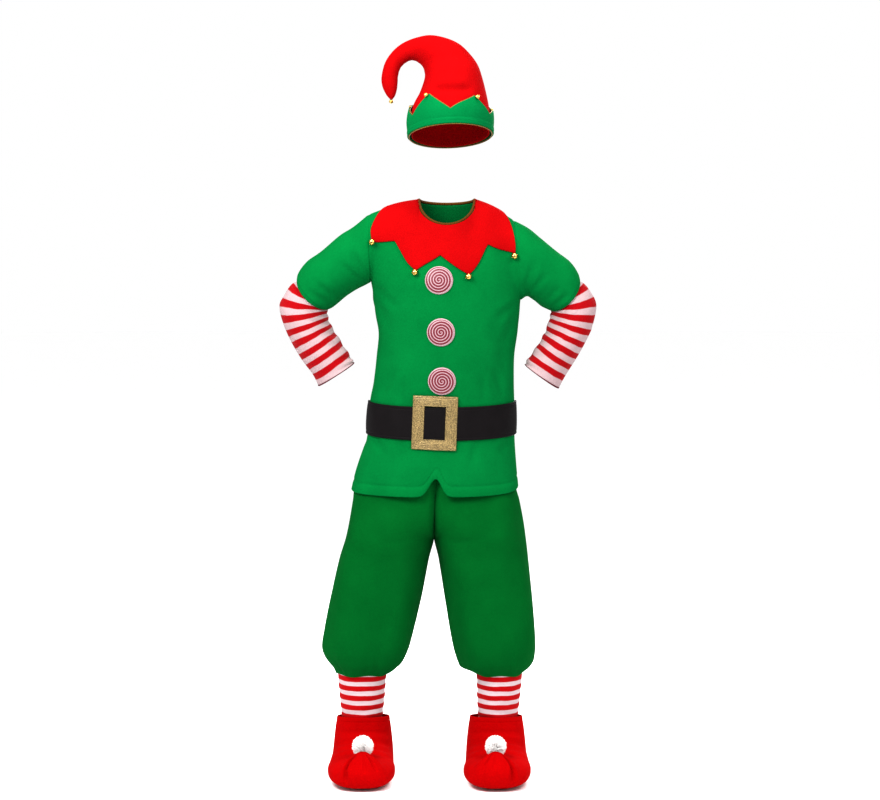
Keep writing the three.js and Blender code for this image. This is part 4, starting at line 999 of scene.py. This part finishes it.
class COSTUME_OT_buttons(bpy.types.Operator):
    """Three padded round buttons with a printed spiral, sewn down the front"""

    bl_idname = "costume.buttons"
    bl_label = "Buttons"

    def execute(self, context):
        satin = finish_of("swirl_satin", swirl, rgb("button_light"), rgb("button_dark"),
                          sizes().swirl_turns)
        reach = np.array([1.0, 0.985, 0.95, 0.9, 0.82, 0.72, 0.6, 0.45, 0.3, 0.15, 0.03, 0])
        height = BUTTON["base"] + BUTTON["wall"] * np.sqrt(1 - reach**6)
        height = (height + BUTTON["crown"] * (1 - reach**2))[:, None]
        count, rows = BUTTON["around"], len(reach)
        angle = TAU * np.arange(count) / count
        disc = np.stack([reach[:, None] * np.cos(angle), reach[:, None] * np.sin(angle)], -1)
        flat = disc.reshape(-1, 2)

        def corner(part, j, i):
            return part * rows * count + j * count + i % count

        faces = []
        for j in range(rows - 1):
            for i in range(count):
                for part in (0, 1):
                    face = [corner(part, j + a, i + b) for a, b in ((0, 0), (0, 1), (1, 1), (1, 0))]
                    faces.append(face[::-1] if part else face)
        faces += [
            [corner(0, 0, i), corner(1, 0, i), corner(1, 0, i + 1), corner(0, 0, i + 1)]
            for i in range(count)
        ]
        corner_uv = [flat[n % (rows * count)] for face in faces for n in face]
        for part in (0, 1):
            face = [corner(part, rows - 1, i) for i in range(count)]
            faces.append(face[::-1] if part else face)
            corner_uv += [(0, 0)] * count
        for k, (x, z) in enumerate(BUTTONS):
            place = disc * BUTTON["radius"] + (x, z)
            u, v = front_place(place[..., 0], place[..., 1])
            sides = [on_tunic(FRONT, u, v, lift + 0 * u) for lift in (height, BUTTON["base"])]
            points = np.concatenate([part.reshape(-1, 3) for part in sides])
            thing = face_outwards(mesh_object(f"swirl_button_{k + 1}", points, faces, corner_uv))
            dress(thing, satin, [f"button_{k + 1}"])
        return {"FINISHED"}


BELT = {"low": 732, "high": 801, "dip": 10, "lift": 1.8, "thick": 2.5}
BUCKLE = {
    "x": -13, "z": 758.5, "half": (45.5, 56), "hole": (23, 36), "lift": 6.3, "thick": 3.0,
    "tilt": 2.2,
}


def belt_point(side, u, z, height):
    hem = hem_height(side, u)
    return on_tunic(side, u, (z - hem) / (armpit_height(u) - hem), height + 0 * u)


class COSTUME_OT_belt(bpy.types.Operator):
    """Soft black belt that dips a little towards the buckle, with stitched edges"""

    bl_idname = "costume.belt"
    bl_label = "Belt"

    def execute(self, context):
        black = finish_of("belt_cloth", plain_cloth, rgb("belt"), scale=1300, distance=0.0003,
                          rough=0.62, sheen=0.0, shine=0.09)
        u = even(-1, 1, 121)
        rise = joined((0, 0.12, 9), (0.12, 0.88, 16), (0.88, 1, 9))
        halves = []
        for side, line in ((FRONT, u[:-1]), (BACK, u[::-1][:-1])):
            grid_u, grid_rise = np.meshgrid(line, rise)
            z = mix(BELT["low"], BELT["high"], grid_rise)
            z = z - BELT["dip"] * np.cos(grid_u * math.pi / 2)
            edge = np.minimum(grid_rise, 1 - grid_rise) * (BELT["high"] - BELT["low"])
            crown = (0.7 + 0.5 * np.sin(grid_u * 23 + side)) * np.sin(grid_rise * math.pi)
            height = BELT["lift"] + BELT["thick"] - 0.7 * crest(edge, 5, 0.9) + crown
            halves.append(belt_point(side, grid_u, z, height))
        outer = np.concatenate(halves, axis=1)
        thing = cloth("soft_belt", outer, BELT["thick"], metre_map(outer), sense=1)
        dress(thing, black, ["belt"])
        return {"FINISHED"}


class COSTUME_OT_buckle(bpy.types.Operator):
    """Square frame of gold glitter cloth, sewn on the belt round its edges"""

    bl_idname = "costume.buckle"
    bl_label = "Buckle"

    def execute(self, context):
        gold = finish_of("gold_glitter", glitter, rgb("buckle"))
        corners = np.array([(-1, -1), (1, -1), (1, 1), (-1, 1), (-1, -1)], float)
        steps = even(0, 1, 27)[:-1, None]
        place = np.concatenate([mix(a, b, steps) for a, b in zip(corners, corners[1:])])
        across = even(0, 1, 49)[:, None]
        half, hole = np.array(BUCKLE["half"]), np.array(BUCKLE["hole"])
        flat = place[None] * mix(hole, half, across)[:, None]
        tilt = math.radians(BUCKLE["tilt"])
        turned = [[math.cos(tilt), -math.sin(tilt)], [math.sin(tilt), math.cos(tilt)]]
        x, z = np.moveaxis(flat @ np.array(turned) + (BUCKLE["x"], BUCKLE["z"]), -1, 0)
        u, _ = front_place(x, np.full_like(x, BUCKLE["z"]))
        width = half[0] - hole[0]
        edge = np.minimum(across, 1 - across) * width
        ridges = 0.3 * np.cos(across * width * TAU / 4) - 0.75 * crest(edge, 3.4, 0.8)
        height = BUCKLE["lift"] + 0.4 + ridges + 0.9 * np.sin(across * math.pi)
        outer = belt_point(FRONT, u, np.full_like(x, BUCKLE["z"]), height)
        outer[..., 2] = z
        thing = cloth("glitter_buckle", outer, BUCKLE["thick"], metre_map(outer), sense=-1)
        dress(thing, gold, ["buckle"])
        return {"FINISHED"}


# Hat

HAT = [
    (104, 1373, -63, 1366, 0, 96, 18), (106, 1403, -66, 1398, 1, 97, 17),
    (103, 1426, -59, 1431, 3, 89, 14), (96, 1461, -45, 1459, 6, 76, 9),
    (87, 1496, -35, 1490, 9, 64, 5), (78, 1520, -36, 1507, 11, 55, 3),
    (62, 1542, -39, 1515, 12, 48, 0), (41, 1562, -44, 1521, 12, 41, 0),
    (14, 1575, -53, 1527, 12, 35, 0), (-21, 1582, -62, 1529, 12, 30, 0),
    (-52, 1577, -70, 1527, 12, 25, 0), (-80, 1566, -79, 1521, 12, 21, 0),
    (-102, 1549, -86, 1513, 12, 18, 0), (-119, 1525, -90, 1503, 12, 17, 0),
    (-127, 1496, -92, 1491, 12, 16, 0), (-126, 1475, -93, 1473, 12, 14, 0),
    (-118, 1457, -97, 1456, 12, 9.5, 0), (-110, 1447, -103, 1446.5, 12, 4, 0),
]
hat_row = curves(HAT)


def hat_point(turn, v):
    return ring_point(hat_row(v), turn, RIGHT)


def on_hat(turn, v, height):
    step = 2e-3
    along_turn = hat_point(turn + step, v) - hat_point(turn - step, v)
    along_v = hat_point(turn, v + step) - hat_point(turn, v - step)
    normal = unit(np.cross(along_turn, along_v)) * RIGHT
    height = np.broadcast_to(height, np.shape(turn))[..., None]
    return hat_point(turn, v) + normal * height, normal


class COSTUME_OT_hat(bpy.types.Operator):
    """Red fleece crown that tapers into a curled horn, sewn from two halves"""

    bl_idname = "costume.hat"
    bl_label = "Hat"

    def execute(self, context):
        red = finish_of("red_fleece", fleece, rgb("hat"))
        stations = joined((0, 6, 54), (6, 16.4, 84), (16.4, 17, 10))
        turn, v = np.meshgrid(TAU * np.arange(112) / 112, stations)
        seam = crest(np.sin(turn) * (6 + 26 * (1 - v / 17)), 0, 1.2)
        puckers = 0.2 * np.sin(v * 6.5 + 2 * np.sin(turn)) * smoothstep(-np.cos(turn), -0.2, 1)
        puckers = puckers * smoothstep(v, 5, 8) * (1 - smoothstep(v, 14, 16))
        fold = 7.0 * crest(v, 2.7, 0.28) - 2.5 * crest(v, 3.3, 0.35)
        dip = 0.9 * seam + puckers + fold * smoothstep(np.sin(turn), 0.78, 0.97)
        outer = sunk(hat_point(turn, v), dip, RIGHT)
        thick = mix(FLEECE, 0.8, smoothstep(stations, 14, 16.5))[:, None]
        thing = cloth("curled_hat", outer, thick, metre_map(outer), sense=RIGHT, capped=True)
        dress(thing, red, ["hat_front", "hat_back"])
        return {"FINISHED"}


BRIM = {"valley": 0.9, "peak": 2.15, "lift": 1.6, "thick": 3.0, "roll": 1.4, "cord": 1.35}
# Peaks and valleys round the brim, in degrees from the middle of the front, each with its height
ZIGZAG = [
    (-180, "peak"), (-140, "valley"), (-104, "peak"), (-59, "valley"), (-34, "peak"),
    (0, "valley"), (34, "peak"), (64, "valley"), (104, "peak"), (142, "valley"), (180, "peak"),
]


class COSTUME_OT_brim(bpy.types.Operator):
    """Green felt brim with five points, edged with gold piping above and below"""

    bl_idname = "costume.brim"
    bl_label = "Hat brim"

    def execute(self, context):
        green = finish_of("brim_felt", fleece, rgb("brim"), nap=0.7)
        gold = finish_of("brim_cord", plain_cloth, rgb("piping"), rough=0.5, run=0.003)
        angles, kinds = zip(*ZIGZAG)
        from_front = np.concatenate([even(a, b, 21)[:-1] for a, b in zip(angles, angles[1:])])
        top = np.interp(from_front, angles, [BRIM[kind] for kind in kinds])
        turn = math.pi / 2 - np.radians(from_front)
        grid_turn, grid_rise = np.meshgrid(turn, joined((0, 0.9, 20), (0.9, 1, 5)))
        place = top[None] * grid_rise
        height = BRIM["lift"] + BRIM["thick"] + BRIM["roll"] * (1 - smoothstep(place, 0, 0.5))
        height = height + 0.9 * crest(place, 0.27, 0.05) - 0.6 * crest(place, 0.40, 0.05)
        outer, _ = on_hat(grid_turn, place, height)
        thing = cloth("pointed_brim", outer, BRIM["thick"], metre_map(outer), sense=RIGHT)
        dress(thing, green, ["hat_brim"])
        middle = BRIM["lift"] + BRIM["thick"] / 2 + 0.9
        for name, place, off, lift, node in (
            ("brim_cord_top", top, 2.0, middle, "hat_piping_top"),
            ("brim_cord_bottom", 0 * top, -1.9, middle + BRIM["roll"], "hat_piping_bottom"),
        ):
            spot, normal = on_hat(turn, place, lift)
            above, _ = on_hat(turn, place + 0.05, lift)
            path = spot + unit(above - spot) * off
            cord = cord_ring(name, path, normal, BRIM["cord"])
            dress(cord, gold, [node])
        return {"FINISHED"}


BELLS = [
    *(f"collar_bell_{k}" for k in range(1, 9)), *(f"hat_bell_{k}" for k in range(1, 6)),
    "hat_bell_tip",
]
HAT_BELL_SHARE, BELL_TILT = 0.85, -62


def pick_faces(ball, wanted):
    """Selects just the faces of an edited mesh whose middles pass a test."""
    bpy.ops.mesh.select_all(action="DESELECT")
    form = bmesh.from_edit_mesh(ball.data)
    for face in form.faces:
        face.select = wanted(face.calc_center_median())
    bmesh.update_edit_mesh(ball.data)


class COSTUME_OT_bells(bpy.types.Operator):
    """Brass jingle bells with a rolled seam, a crossed slot and a ring"""

    bl_idname = "costume.bells"
    bl_label = "Bells"

    def execute(self, context):
        gold = finish_of("bell_brass", brass, rgb("bell"))
        # Dark cloth for the slots: painted shade of the bell's hollow inside
        dark = finish_of("bell_slot", plain_cloth, rgb("slot"))
        pattern = self.pattern(gold, dark)
        tips = [Vector(((tip - NECK) * MM).tolist()) for tip in collar_tips()]
        for node in BELLS:
            low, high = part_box(node)
            centre, radius = (low + high) / 2, (high.x - low.x + high.z - low.z) / 4
            if node.startswith("collar"):
                centre = min(tips, key=lambda place: (place - centre).length)
            else:
                radius *= HAT_BELL_SHARE
            mesh = pattern.data.copy()
            tilt = 0 if node == "hat_bell_tip" else math.radians(BELL_TILT)
            mesh.transform(Euler((tilt, 0, 0.4 * len(node))).to_matrix().to_4x4())
            for vertex in mesh.vertices:
                vertex.co = centre + vertex.co * radius
            thing = bpy.data.objects.new("jingle_" + node, mesh)
            context.scene.collection.objects.link(thing)
            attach(thing, "root")
            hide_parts(node)
        bpy.data.objects.remove(pattern)
        return {"FINISHED"}

    def pattern(self, gold, dark):
        """One bell of radius one, its slot below, painted dark as the shade of the hollow inside.
        """
        deselect()
        bpy.ops.mesh.primitive_uv_sphere_add(segments=32, ring_count=22, radius=0.94)
        ball = bpy.context.object
        ball.name = "bell_pattern"
        ball.data.materials.append(gold)
        ball.data.materials.append(dark)
        bpy.ops.object.mode_set(mode="EDIT")
        pick_faces(ball, lambda spot: abs(spot.z) < 0.14)
        bpy.ops.mesh.extrude_region_shrink_fatten(TRANSFORM_OT_shrink_fatten={"value": 0.06})
        pick_faces(ball, lambda spot: spot.z < -0.42 and min(abs(spot.x), abs(spot.y)) < 0.11)
        bpy.ops.mesh.inset(thickness=0.02)
        bpy.ops.mesh.extrude_region_shrink_fatten(TRANSFORM_OT_shrink_fatten={"value": -0.12})
        # The sunk slot's faces take the dark finish, painted shade of the hollow inside
        form = bmesh.from_edit_mesh(ball.data)
        for face in form.faces:
            if face.select:
                face.material_index = 1
        bmesh.update_edit_mesh(ball.data)
        bpy.ops.object.mode_set(mode="OBJECT")
        deselect()
        bpy.ops.mesh.primitive_torus_add(
            major_segments=20, minor_segments=8, major_radius=0.2, minor_radius=0.06,
            location=(0, 0, 1.0), rotation=(math.pi / 2, 0, 0))
        ring = bpy.context.object
        ring.data.materials.append(gold)
        ball.select_set(True)
        bpy.context.view_layer.objects.active = ball
        bpy.ops.object.join()
        bpy.ops.object.transform_apply(location=True, rotation=True, scale=True)
        bpy.ops.object.shade_smooth_by_angle(angle=math.radians(40))
        return ball


# Breeches and stockings

GATHERED, CROTCH, ONE_RING, WAIST = 209, 507, 640, 800
LEG = {
    # height, outer x, inner x, y, depth
    LEFT: [
        (209, 180, 73, 5, 54), (221, 193, 46, 4, 64), (233, 201, 39, 3, 72),
        (247, 204.5, 34, 2, 77), (265, 206.5, 29, 1, 81), (300, 206, 22, 0, 84),
        (372, 200, 10.5, 0, 86),
        (458, 189, -4, 0, 89), (507, 182, -16, 0, 93), (585, 169, -16, 0, 90),
        (612, 162.5, -16, 0, 85), (690, 155, -16, 0, 87), (725, 154.5, -16, -1, 86.5),
        (760, 154, -16, -2, 86), (800, 153.5, -16, -2, 85.5),
    ],
    RIGHT: [
        (209, -227, -114, 5, 54), (221, -232, -95, 4, 64), (233, -242, -82, 3, 72),
        (247, -251, -74, 2, 77), (265, -256.5, -67, 1, 81), (300, -252, -58, 0, 84),
        (372, -239, -43, 0, 86), (458, -221.5, -28, 0, 89), (507, -207, -16, 0, 93),
        (585, -191, -16, 0, 90), (612, -187, -16, 0, 86), (690, -162, -16, 0, 87),
        (725, -153, -16, -1, 86.5), (760, -151, -16, -2, 86), (800, -148, -16, -2, 85.5),
    ],
}
leg_rows = {
    hand: curves([row[1:] for row in rows], [row[0] for row in rows]) for hand, rows in LEG.items()
}
HALF_SEAM = -0.9


def centre_line(z):
    return -16 + 16 * smoothstep(z, CROTCH, WAIST)


def leg_ring(hand, z):
    """The ring of a leg at a height; above the crotch it grows into the ring of both legs."""
    z = np.asarray(z, float)
    out, inn, y, depth = np.moveaxis(leg_rows[hand](z), -1, 0)
    whole = leg_rows[-hand](z)[..., 0]
    merged = np.clip((z - CROTCH) / (ONE_RING - CROTCH), 0, 1) ** 1.2
    centre = centre_line(z)
    shared = mix(centre, mix(centre - (out - centre), whole, smoothstep(merged, 0.5, 1)), merged)
    inn = np.where(z > CROTCH, shared, inn)
    return np.stack([out, z, inn, z, y, depth, 0 * z], axis=-1)


def leg_point(hand, u, z):
    row = leg_ring(hand, z)
    middle, reach = (row[..., 0] + row[..., 2]) / 2, np.abs(row[..., 0] - row[..., 2]) / 2
    edge = (middle - centre_line(z)) * hand - HALF_SEAM
    opened = np.where(z > CROTCH, np.arccos(np.clip(edge / reach, -1, 1)), 0)
    seam = np.maximum(opened, HALF_SEAM / row[..., 5])
    turn = (1 - 2 * u) * (math.pi - seam)
    fold = fold_depth(LEG_FOLDS, u, z)
    row[..., 0] -= hand * fold * 0.5
    row[..., 5] -= fold
    return ring_point(row, turn, hand)


class COSTUME_OT_breeches(bpy.types.Operator):
    """Green fleece knee breeches, gathered below the knee by a hidden elastic"""

    bl_idname = "costume.breeches"
    bl_label = "Breeches"

    def execute(self, context):
        # Darker fleece than the tunic's: painted shade of the weaker light on the legs
        green = finish_of("breeches_fleece", fleece, rgb("breeches"))
        z = joined((GATHERED, 250, 34), (250, 400, 44), (400, WAIST, 92))
        u = joined((0, 0.04, 8), (0.04, 0.96, 98), (0.96, 1, 8))
        for hand, word in SIDES:
            grid_u, grid_z = np.meshgrid(u, z)
            points = leg_point(hand, grid_u, grid_z)
            from_seam = np.minimum(grid_u, 1 - grid_u)
            shift = 1.3 * np.sin(grid_u * 9 + hand)
            gathers = 0.55 + 0.45 * np.sin(grid_u * TAU * 6.3 + hand)
            gathers = 1.3 * gathers * np.sin(grid_u * TAU * 21 + shift)
            gathers *= (1 - smoothstep(grid_z, 214, 292)) * smoothstep(grid_z, 209, 219)
            broad = 2.3 * np.sin(grid_u * TAU * 5 + 1.2 * np.sin(grid_z / 90 + hand))
            broad *= 1 - smoothstep(grid_z, 520, 640)
            seam = seam_dip() * (1 - smoothstep(from_seam, 0, 0.012))
            dip = gathers + broad + seam + 0.5 * crest(grid_u, 0.5, 0.006)
            shown = 1 - smoothstep(grid_z, 590, 620)
            outer = sunk(points, dip * shown, hand, round_cloth=False)
            crotch = 9 * crest(from_seam, 0, 0.017) * smoothstep(grid_z, 480, 515)
            outer[..., 1] *= 1 - crotch / np.maximum(np.abs(outer[..., 1]), 20)
            thing = cloth("breeches_leg_" + word, outer, FLEECE, metre_map(outer, False),
                          round_cloth=False, sense=hand)
            dress(thing, green, ["breeches_" + word])
        return {"FINISHED"}


STRIPES_FROM, STRIPE_PAIR = 207.5, 10.35
STOCKING_END = {LEFT: (165, 82, 3.3, 43), RIGHT: (-214, -129, 2.6, 43)}


def stocking_rows(hand):
    """Rings of a stocking, from inside the breeches leg to inside the shoe cover."""
    gathered = inset(tuple(leg_ring(hand, GATHERED)), FLEECE + 1.1)
    like = inset(tuple(leg_ring(hand, 240)), 24)
    out, inn, y, depth = STOCKING_END[hand]
    end = (out, 98, inn, 98, y, depth, 0)

    def level(a, b, share, z):
        row = [mix(p, q, share) for p, q in zip(a, b)]
        row[1] = row[3] = z
        row[6] = 0
        return tuple(row)

    return [level(like, like, 0, 250), gathered, level(gathered, end, 0.5, 150), end]


class COSTUME_OT_stockings(bpy.types.Operator):
    """Striped jersey stockings from under the breeches into the shoe covers"""

    bl_idname = "costume.stockings"
    bl_label = "Stockings"

    def execute(self, context):
        jersey = finish_of("stocking_jersey", striped_jersey, rgb("stocking_red"),
                           rgb("stocking_white"), sizes().knit_run)
        for hand, word in SIDES:
            outer, turn, v = tube_grid(
                stocking_rows(hand), hand, 88, joined((0, 1, 16), (1, 3, 50)))
            uv = metre_map(outer)
            height = np.concatenate([outer, outer[:, :1]], axis=1)[..., 2]
            uv[..., 1] = (STRIPES_FROM - height) / STRIPE_PAIR
            ease = 0.7 * np.sin(outer[..., 2] / 3.3 + 1.5 * np.sin(2 * turn))
            outer = sunk(outer, ease * smoothstep(v, 1.1, 1.4), hand)
            thing = cloth("stocking_cuff_" + word, outer, JERSEY, uv, sense=hand)
            dress(thing, jersey, ["stocking_" + word])
        return {"FINISHED"}


# Shoe covers

SHOE = [
    # upper forward and z, lower forward and z, half width, how flat below, shift
    (46, 119, -58, 107, 57, 0, 0), (49, 97, -63, 80, 60.5, 0, 0),
    (57, 79, -64, 42, 63.5, 0.3, 0), (74, 69, -54, 6, 65.5, 0.8, 0),
    (94, 64, -14, 3.3, 66.5, 1, 0), (116, 60, 48, 3.3, 68, 1, 0),
    (138, 60, 104, 3.3, 70.5, 1, 1), (158, 60, 152, 3.3, 70, 0.9, 2),
    (169, 61.5, 192, 4, 63, 0.7, 3),
    (175, 63, 214, 12, 53, 0.4, 4), (178, 67, 221, 36, 40, 0, 5), (179, 73, 212, 58, 26, 0, 6),
    (180, 78, 198, 74, 12, 0, 6),
]
shoe_row = curves(SHOE)
SHOE_X = {LEFT: 120, RIGHT: -169}
# Pleats from the toe's tip: degrees from the top towards the outer side, half width, how deep
DEEP_PLEAT = 142
PLEATS = [
    (DEEP_PLEAT, 8.5, 6.4, 7.4), (112, 5, 2.0, 9.4), (76, 5, 2.0, 9.4), (44, 5, 2.0, 9.6),
    (12, 5, 1.6, 9.6), (-18, 5, 2.0, 9.6), (-46, 5, 1.8, 9.6), (-84, 5, 2.2, 9.4),
    (-128, 6, 2.8, 9.4), (-170, 5, 1.6, 9.8),
]


def pleat_depth(turn, v):
    """How deep the gathered toe sinks at a turn, measured towards the outer side."""
    depth = 0
    for place, width, deep, start in PLEATS:
        bend = 0.3 * smoothstep(v, 8.8, 11.2) if place == DEEP_PLEAT else 0
        off = (np.degrees(turn) - place * (1 - bend) + 180) % 360 - 180
        along = smoothstep(v, start, start + 1.6) * (1 - 0.5 * smoothstep(v, 11.3, 12))
        trough = crest(off, 0, width) - 0.35 * crest(np.abs(off), 2.3 * width, width)
        depth = depth + deep * along * trough
    return depth


# Half the sole's outline: how far forward and how far out
SOLE_EDGE = [
    (-52, 22), (-46, 38), (-20, 47), (40, 51), (95, 56), (125, 52), (145, 38), (152, 20),
]
SOLE_MIDDLE = 50


def shoe_point(hand, turn, v):
    top_f, top_z, low_f, low_z, half, flat, shift = np.moveaxis(shoe_row(v), -1, 0)
    c, s = np.cos(turn), np.sin(turn)
    power = np.where(c < 0, mix(1, 0.62, np.clip(flat, 0, 1)), 1)
    up = np.sign(c) * np.abs(c) ** power
    wide = np.sign(s) * np.abs(s) ** power
    return stack(
        SHOE_X[hand] - hand * shift + half * wide,
        -(top_f + low_f + (top_f - low_f) * up) / 2,
        (top_z + low_z + (top_z - low_z) * up) / 2,
    )


class COSTUME_OT_shoes(bpy.types.Operator):
    """Red felt shoe covers with a curled, pleated toe and a flat sole"""

    bl_idname = "costume.shoes"
    bl_label = "Shoe covers"

    def execute(self, context):
        felt = finish_of("shoe_felt", fleece, rgb("shoe"), nap=0.9)
        stations = np.append(joined((0, 0.6, 14), (0.6, 7, 56), (7, 12, 60)), 12.15)
        thick = mix(FELT, 1.2, smoothstep(stations, 10, 12))[:, None]
        for hand, word in SIDES:
            turn, v = np.meshgrid(TAU * (np.arange(112) + 0.5) / 112, stations)
            points = shoe_point(hand, turn, v)
            last = points[-1]
            centre = last.mean(axis=0, keepdims=True)
            points[-1] = centre + (last - centre) * 0.25 + np.array([0, 0, 2.0])
            pleat = pleat_depth(turn * hand, v) * smoothstep(points[..., 2], 8, 40)
            crease = 1.8 * np.sin(v * 5.0 + 1.5 * np.cos(turn)) * smoothstep(np.cos(turn), 0.1, 0.9)
            crease = crease * smoothstep(v, 0.8, 1.6) * (1 - smoothstep(v, 5.2, 6.6))
            outer = sunk(points, pleat + crease + 0.8 * crest(v, 0.42, 0.05), -1)
            thing = cloth("felt_shoe_" + word, outer, thick, metre_map(outer), sense=-1,
                          capped=True)
            dress(thing, felt, ["shoe_" + word])
            self.sole(hand, word, felt)
        return {"FINISHED"}

    def sole(self, hand, word, felt):
        """A flat felt sole, cut round the foot."""
        forward, half = curves(SOLE_EDGE)(even(0, len(SOLE_EDGE) - 1, 40)).T
        out = np.concatenate([half, -half[::-1]])
        along = SOLE_MIDDLE - np.concatenate([forward, forward[::-1]])
        layers = [(0.0, 0.985), (0.4, 1.0), (2.6, 1.0), (3.0, 0.985)]
        points = [stack(SHOE_X[hand] + out * s, along * s - SOLE_MIDDLE, z) for z, s in layers]
        n = len(out)
        faces = [tuple(range(n)), tuple(range(3 * n, 4 * n))[::-1]]
        for k in range(3):
            for i in range(n):
                a, b = k * n + i, k * n + (i + 1) % n
                faces.append((a, b, b + n, a + n))
        thing = face_outwards(mesh_object("felt_sole_" + word, np.concatenate(points), faces))
        thing.data.polygons.foreach_set("use_smooth", [False] * len(thing.data.polygons))
        dress(thing, felt, [f"shoe_{word}_sole"])


LOCKS = {"count": 900, "root": 0.45, "wide": 1.5}


class COSTUME_OT_pompoms(bpy.types.Operator):
    """Fluffy white pompoms of many short locks of yarn"""

    bl_idname = "costume.pompoms"
    bl_label = "Pompoms"

    def execute(self, context):
        yarn = finish_of("white_yarn", fleece, rgb("pompom"), nap=0.8, sheen=0.1)
        draw = np.random.default_rng(7)
        for _, word in SIDES:
            node = "pompom_" + word
            low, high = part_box(node)
            centre = np.array((low + high) / 2) / MM + NECK
            thing = self.ball(centre, (high.x - low.x) / 2 / MM, draw, "yarn_" + node)
            dress(thing, yarn, [node])
        return {"FINISHED"}

    def ball(self, centre, radius, draw, name):
        """Locks of four-sided yarn, spread evenly over a ball and bent a little."""
        count, rings = LOCKS["count"], (0.0, 0.35, 0.7, 1.0)
        k = np.arange(count) + 0.5
        lift = 1 - 2 * k / count
        spin = math.pi * (1 + 5**0.5) * k
        ray = stack(np.sqrt(1 - lift**2) * np.cos(spin), np.sqrt(1 - lift**2) * np.sin(spin), lift)
        ray = unit(ray + draw.normal(0, 0.06, ray.shape))
        side = unit(np.cross(ray, draw.normal(0, 1, ray.shape)))
        other = np.cross(ray, side)
        reach = radius * draw.uniform(0.90, 1.03, count)
        bend = draw.normal(0, 1.3, (count, 2))
        points, faces = [], []
        for n in range(count):
            start = len(points)
            for s in rings:
                spot = centre + ray[n] * mix(radius * LOCKS["root"], reach[n], s)
                spot = spot + (side[n] * bend[n, 0] + other[n] * bend[n, 1]) * s * s
                wide = LOCKS["wide"] * (1 - 0.25 * s if s < 1 else 0.5)
                for c in range(4):
                    a = c * TAU / 4
                    points.append(spot + (side[n] * math.cos(a) + other[n] * math.sin(a)) * wide)
            for j in range(len(rings) - 1):
                for c in range(4):
                    a, b = start + j * 4 + c, start + j * 4 + (c + 1) % 4
                    faces.append((a, b, b + 4, a + 4))
            faces.append(tuple(start + c for c in (3, 2, 1, 0)))
            faces.append(tuple(start + (len(rings) - 1) * 4 + c for c in range(4)))
        return mesh_object(name, points, faces)


class COSTUME_OT_stage(bpy.types.Operator):
    """Pale floor, soft studio light and the camera at the photograph's angle"""

    bl_idname = "costume.stage"
    bl_label = "Floor, light and camera"

    def execute(self, context):
        scene, floor_z = context.scene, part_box("shoe_left_sole")[0].z
        deselect()
        bpy.ops.mesh.primitive_circle_add(
            vertices=96, radius=40, fill_type="NGON", location=(0, 0, floor_z))
        floor = context.object
        floor.name = "floor"
        bpy.ops.object.transform_apply(location=True)
        floor.data.materials.append(stage_finish("floor_paper", rgb("floor")))
        world = bpy.data.worlds.new("studio")
        world.use_nodes = True
        world.node_tree.nodes["Background"].inputs["Color"].default_value = (1, 1, 1, 1)
        world.node_tree.nodes["Background"].inputs["Strength"].default_value = 1.0
        scene.world = world
        for name, place, size, power in (
            ("key_light", (-1.05, -1.35, 0.9), 0.9, 72),
            ("fill_light", (1.2, -1.35, 0.95), 1.0, 38),
            ("top_light", (0.1, -0.3, 2.0), 1.0, 46),
            ("back_light", (0.8, 2.0, 0.8), 1.2, 50),
        ):
            light = bpy.data.lights.new(name, "AREA")
            light.size, light.energy = size, power
            lamp = bpy.data.objects.new(name, light)
            lamp.location = place
            aim = Vector((0, 0, -0.4)) - Vector(place)
            lamp.rotation_euler = aim.to_track_quat("-Z", "Y").to_euler()
            scene.collection.objects.link(lamp)
        camera = bpy.data.objects.new("camera", bpy.data.cameras.new("camera"))
        camera.data.sensor_width, camera.data.lens = 36.0, 79.9
        camera.location = (-0.014, -sizes().camera_distance, sizes().camera_height + floor_z)
        camera.rotation_euler = (math.pi / 2 - sizes().camera_tilt, 0, 0)
        scene.collection.objects.link(camera)
        scene.camera = camera
        scene.view_settings.view_transform = "Standard"
        scene.view_settings.gamma = 0.8
        return {"FINISHED"}


class COSTUME_PT_panel(bpy.types.Panel):
    """Sizes, colours and pieces of the costume"""

    bl_idname = "COSTUME_PT_panel"
    bl_label = "Elf costume"
    bl_space_type = "VIEW_3D"
    bl_region_type = "UI"
    bl_category = "Costume"

    def draw(self, context):
        for group in (context.scene.costume_sizes, context.scene.costume_colours):
            box = self.layout.box()
            for name in group.__annotations__:
                box.prop(group, name)
        for operator in OPERATORS:
            self.layout.operator(operator.bl_idname)


OPERATORS = (
    COSTUME_OT_tunic, COSTUME_OT_sleeves, COSTUME_OT_striped_sleeves, COSTUME_OT_collar,
    COSTUME_OT_buttons, COSTUME_OT_belt, COSTUME_OT_buckle, COSTUME_OT_hat, COSTUME_OT_brim,
    COSTUME_OT_bells, COSTUME_OT_breeches, COSTUME_OT_stockings, COSTUME_OT_shoes,
    COSTUME_OT_pompoms, COSTUME_OT_stage,
)
CLASSES = (CostumeColours, CostumeSizes, *OPERATORS, COSTUME_PT_panel)


def register():
    for kind in CLASSES:
        bpy.utils.register_class(kind)
    bpy.types.Scene.costume_colours = bpy.props.PointerProperty(type=CostumeColours)
    bpy.types.Scene.costume_sizes = bpy.props.PointerProperty(type=CostumeSizes)


def unregister():
    del bpy.types.Scene.costume_sizes
    del bpy.types.Scene.costume_colours
    for kind in reversed(CLASSES):
        bpy.utils.unregister_class(kind)


def main():
    register()
    for operator in OPERATORS:
        group, name = operator.bl_idname.split(".")
        getattr(getattr(bpy.ops, group), name)()


if __name__ == "__main__":
    main()
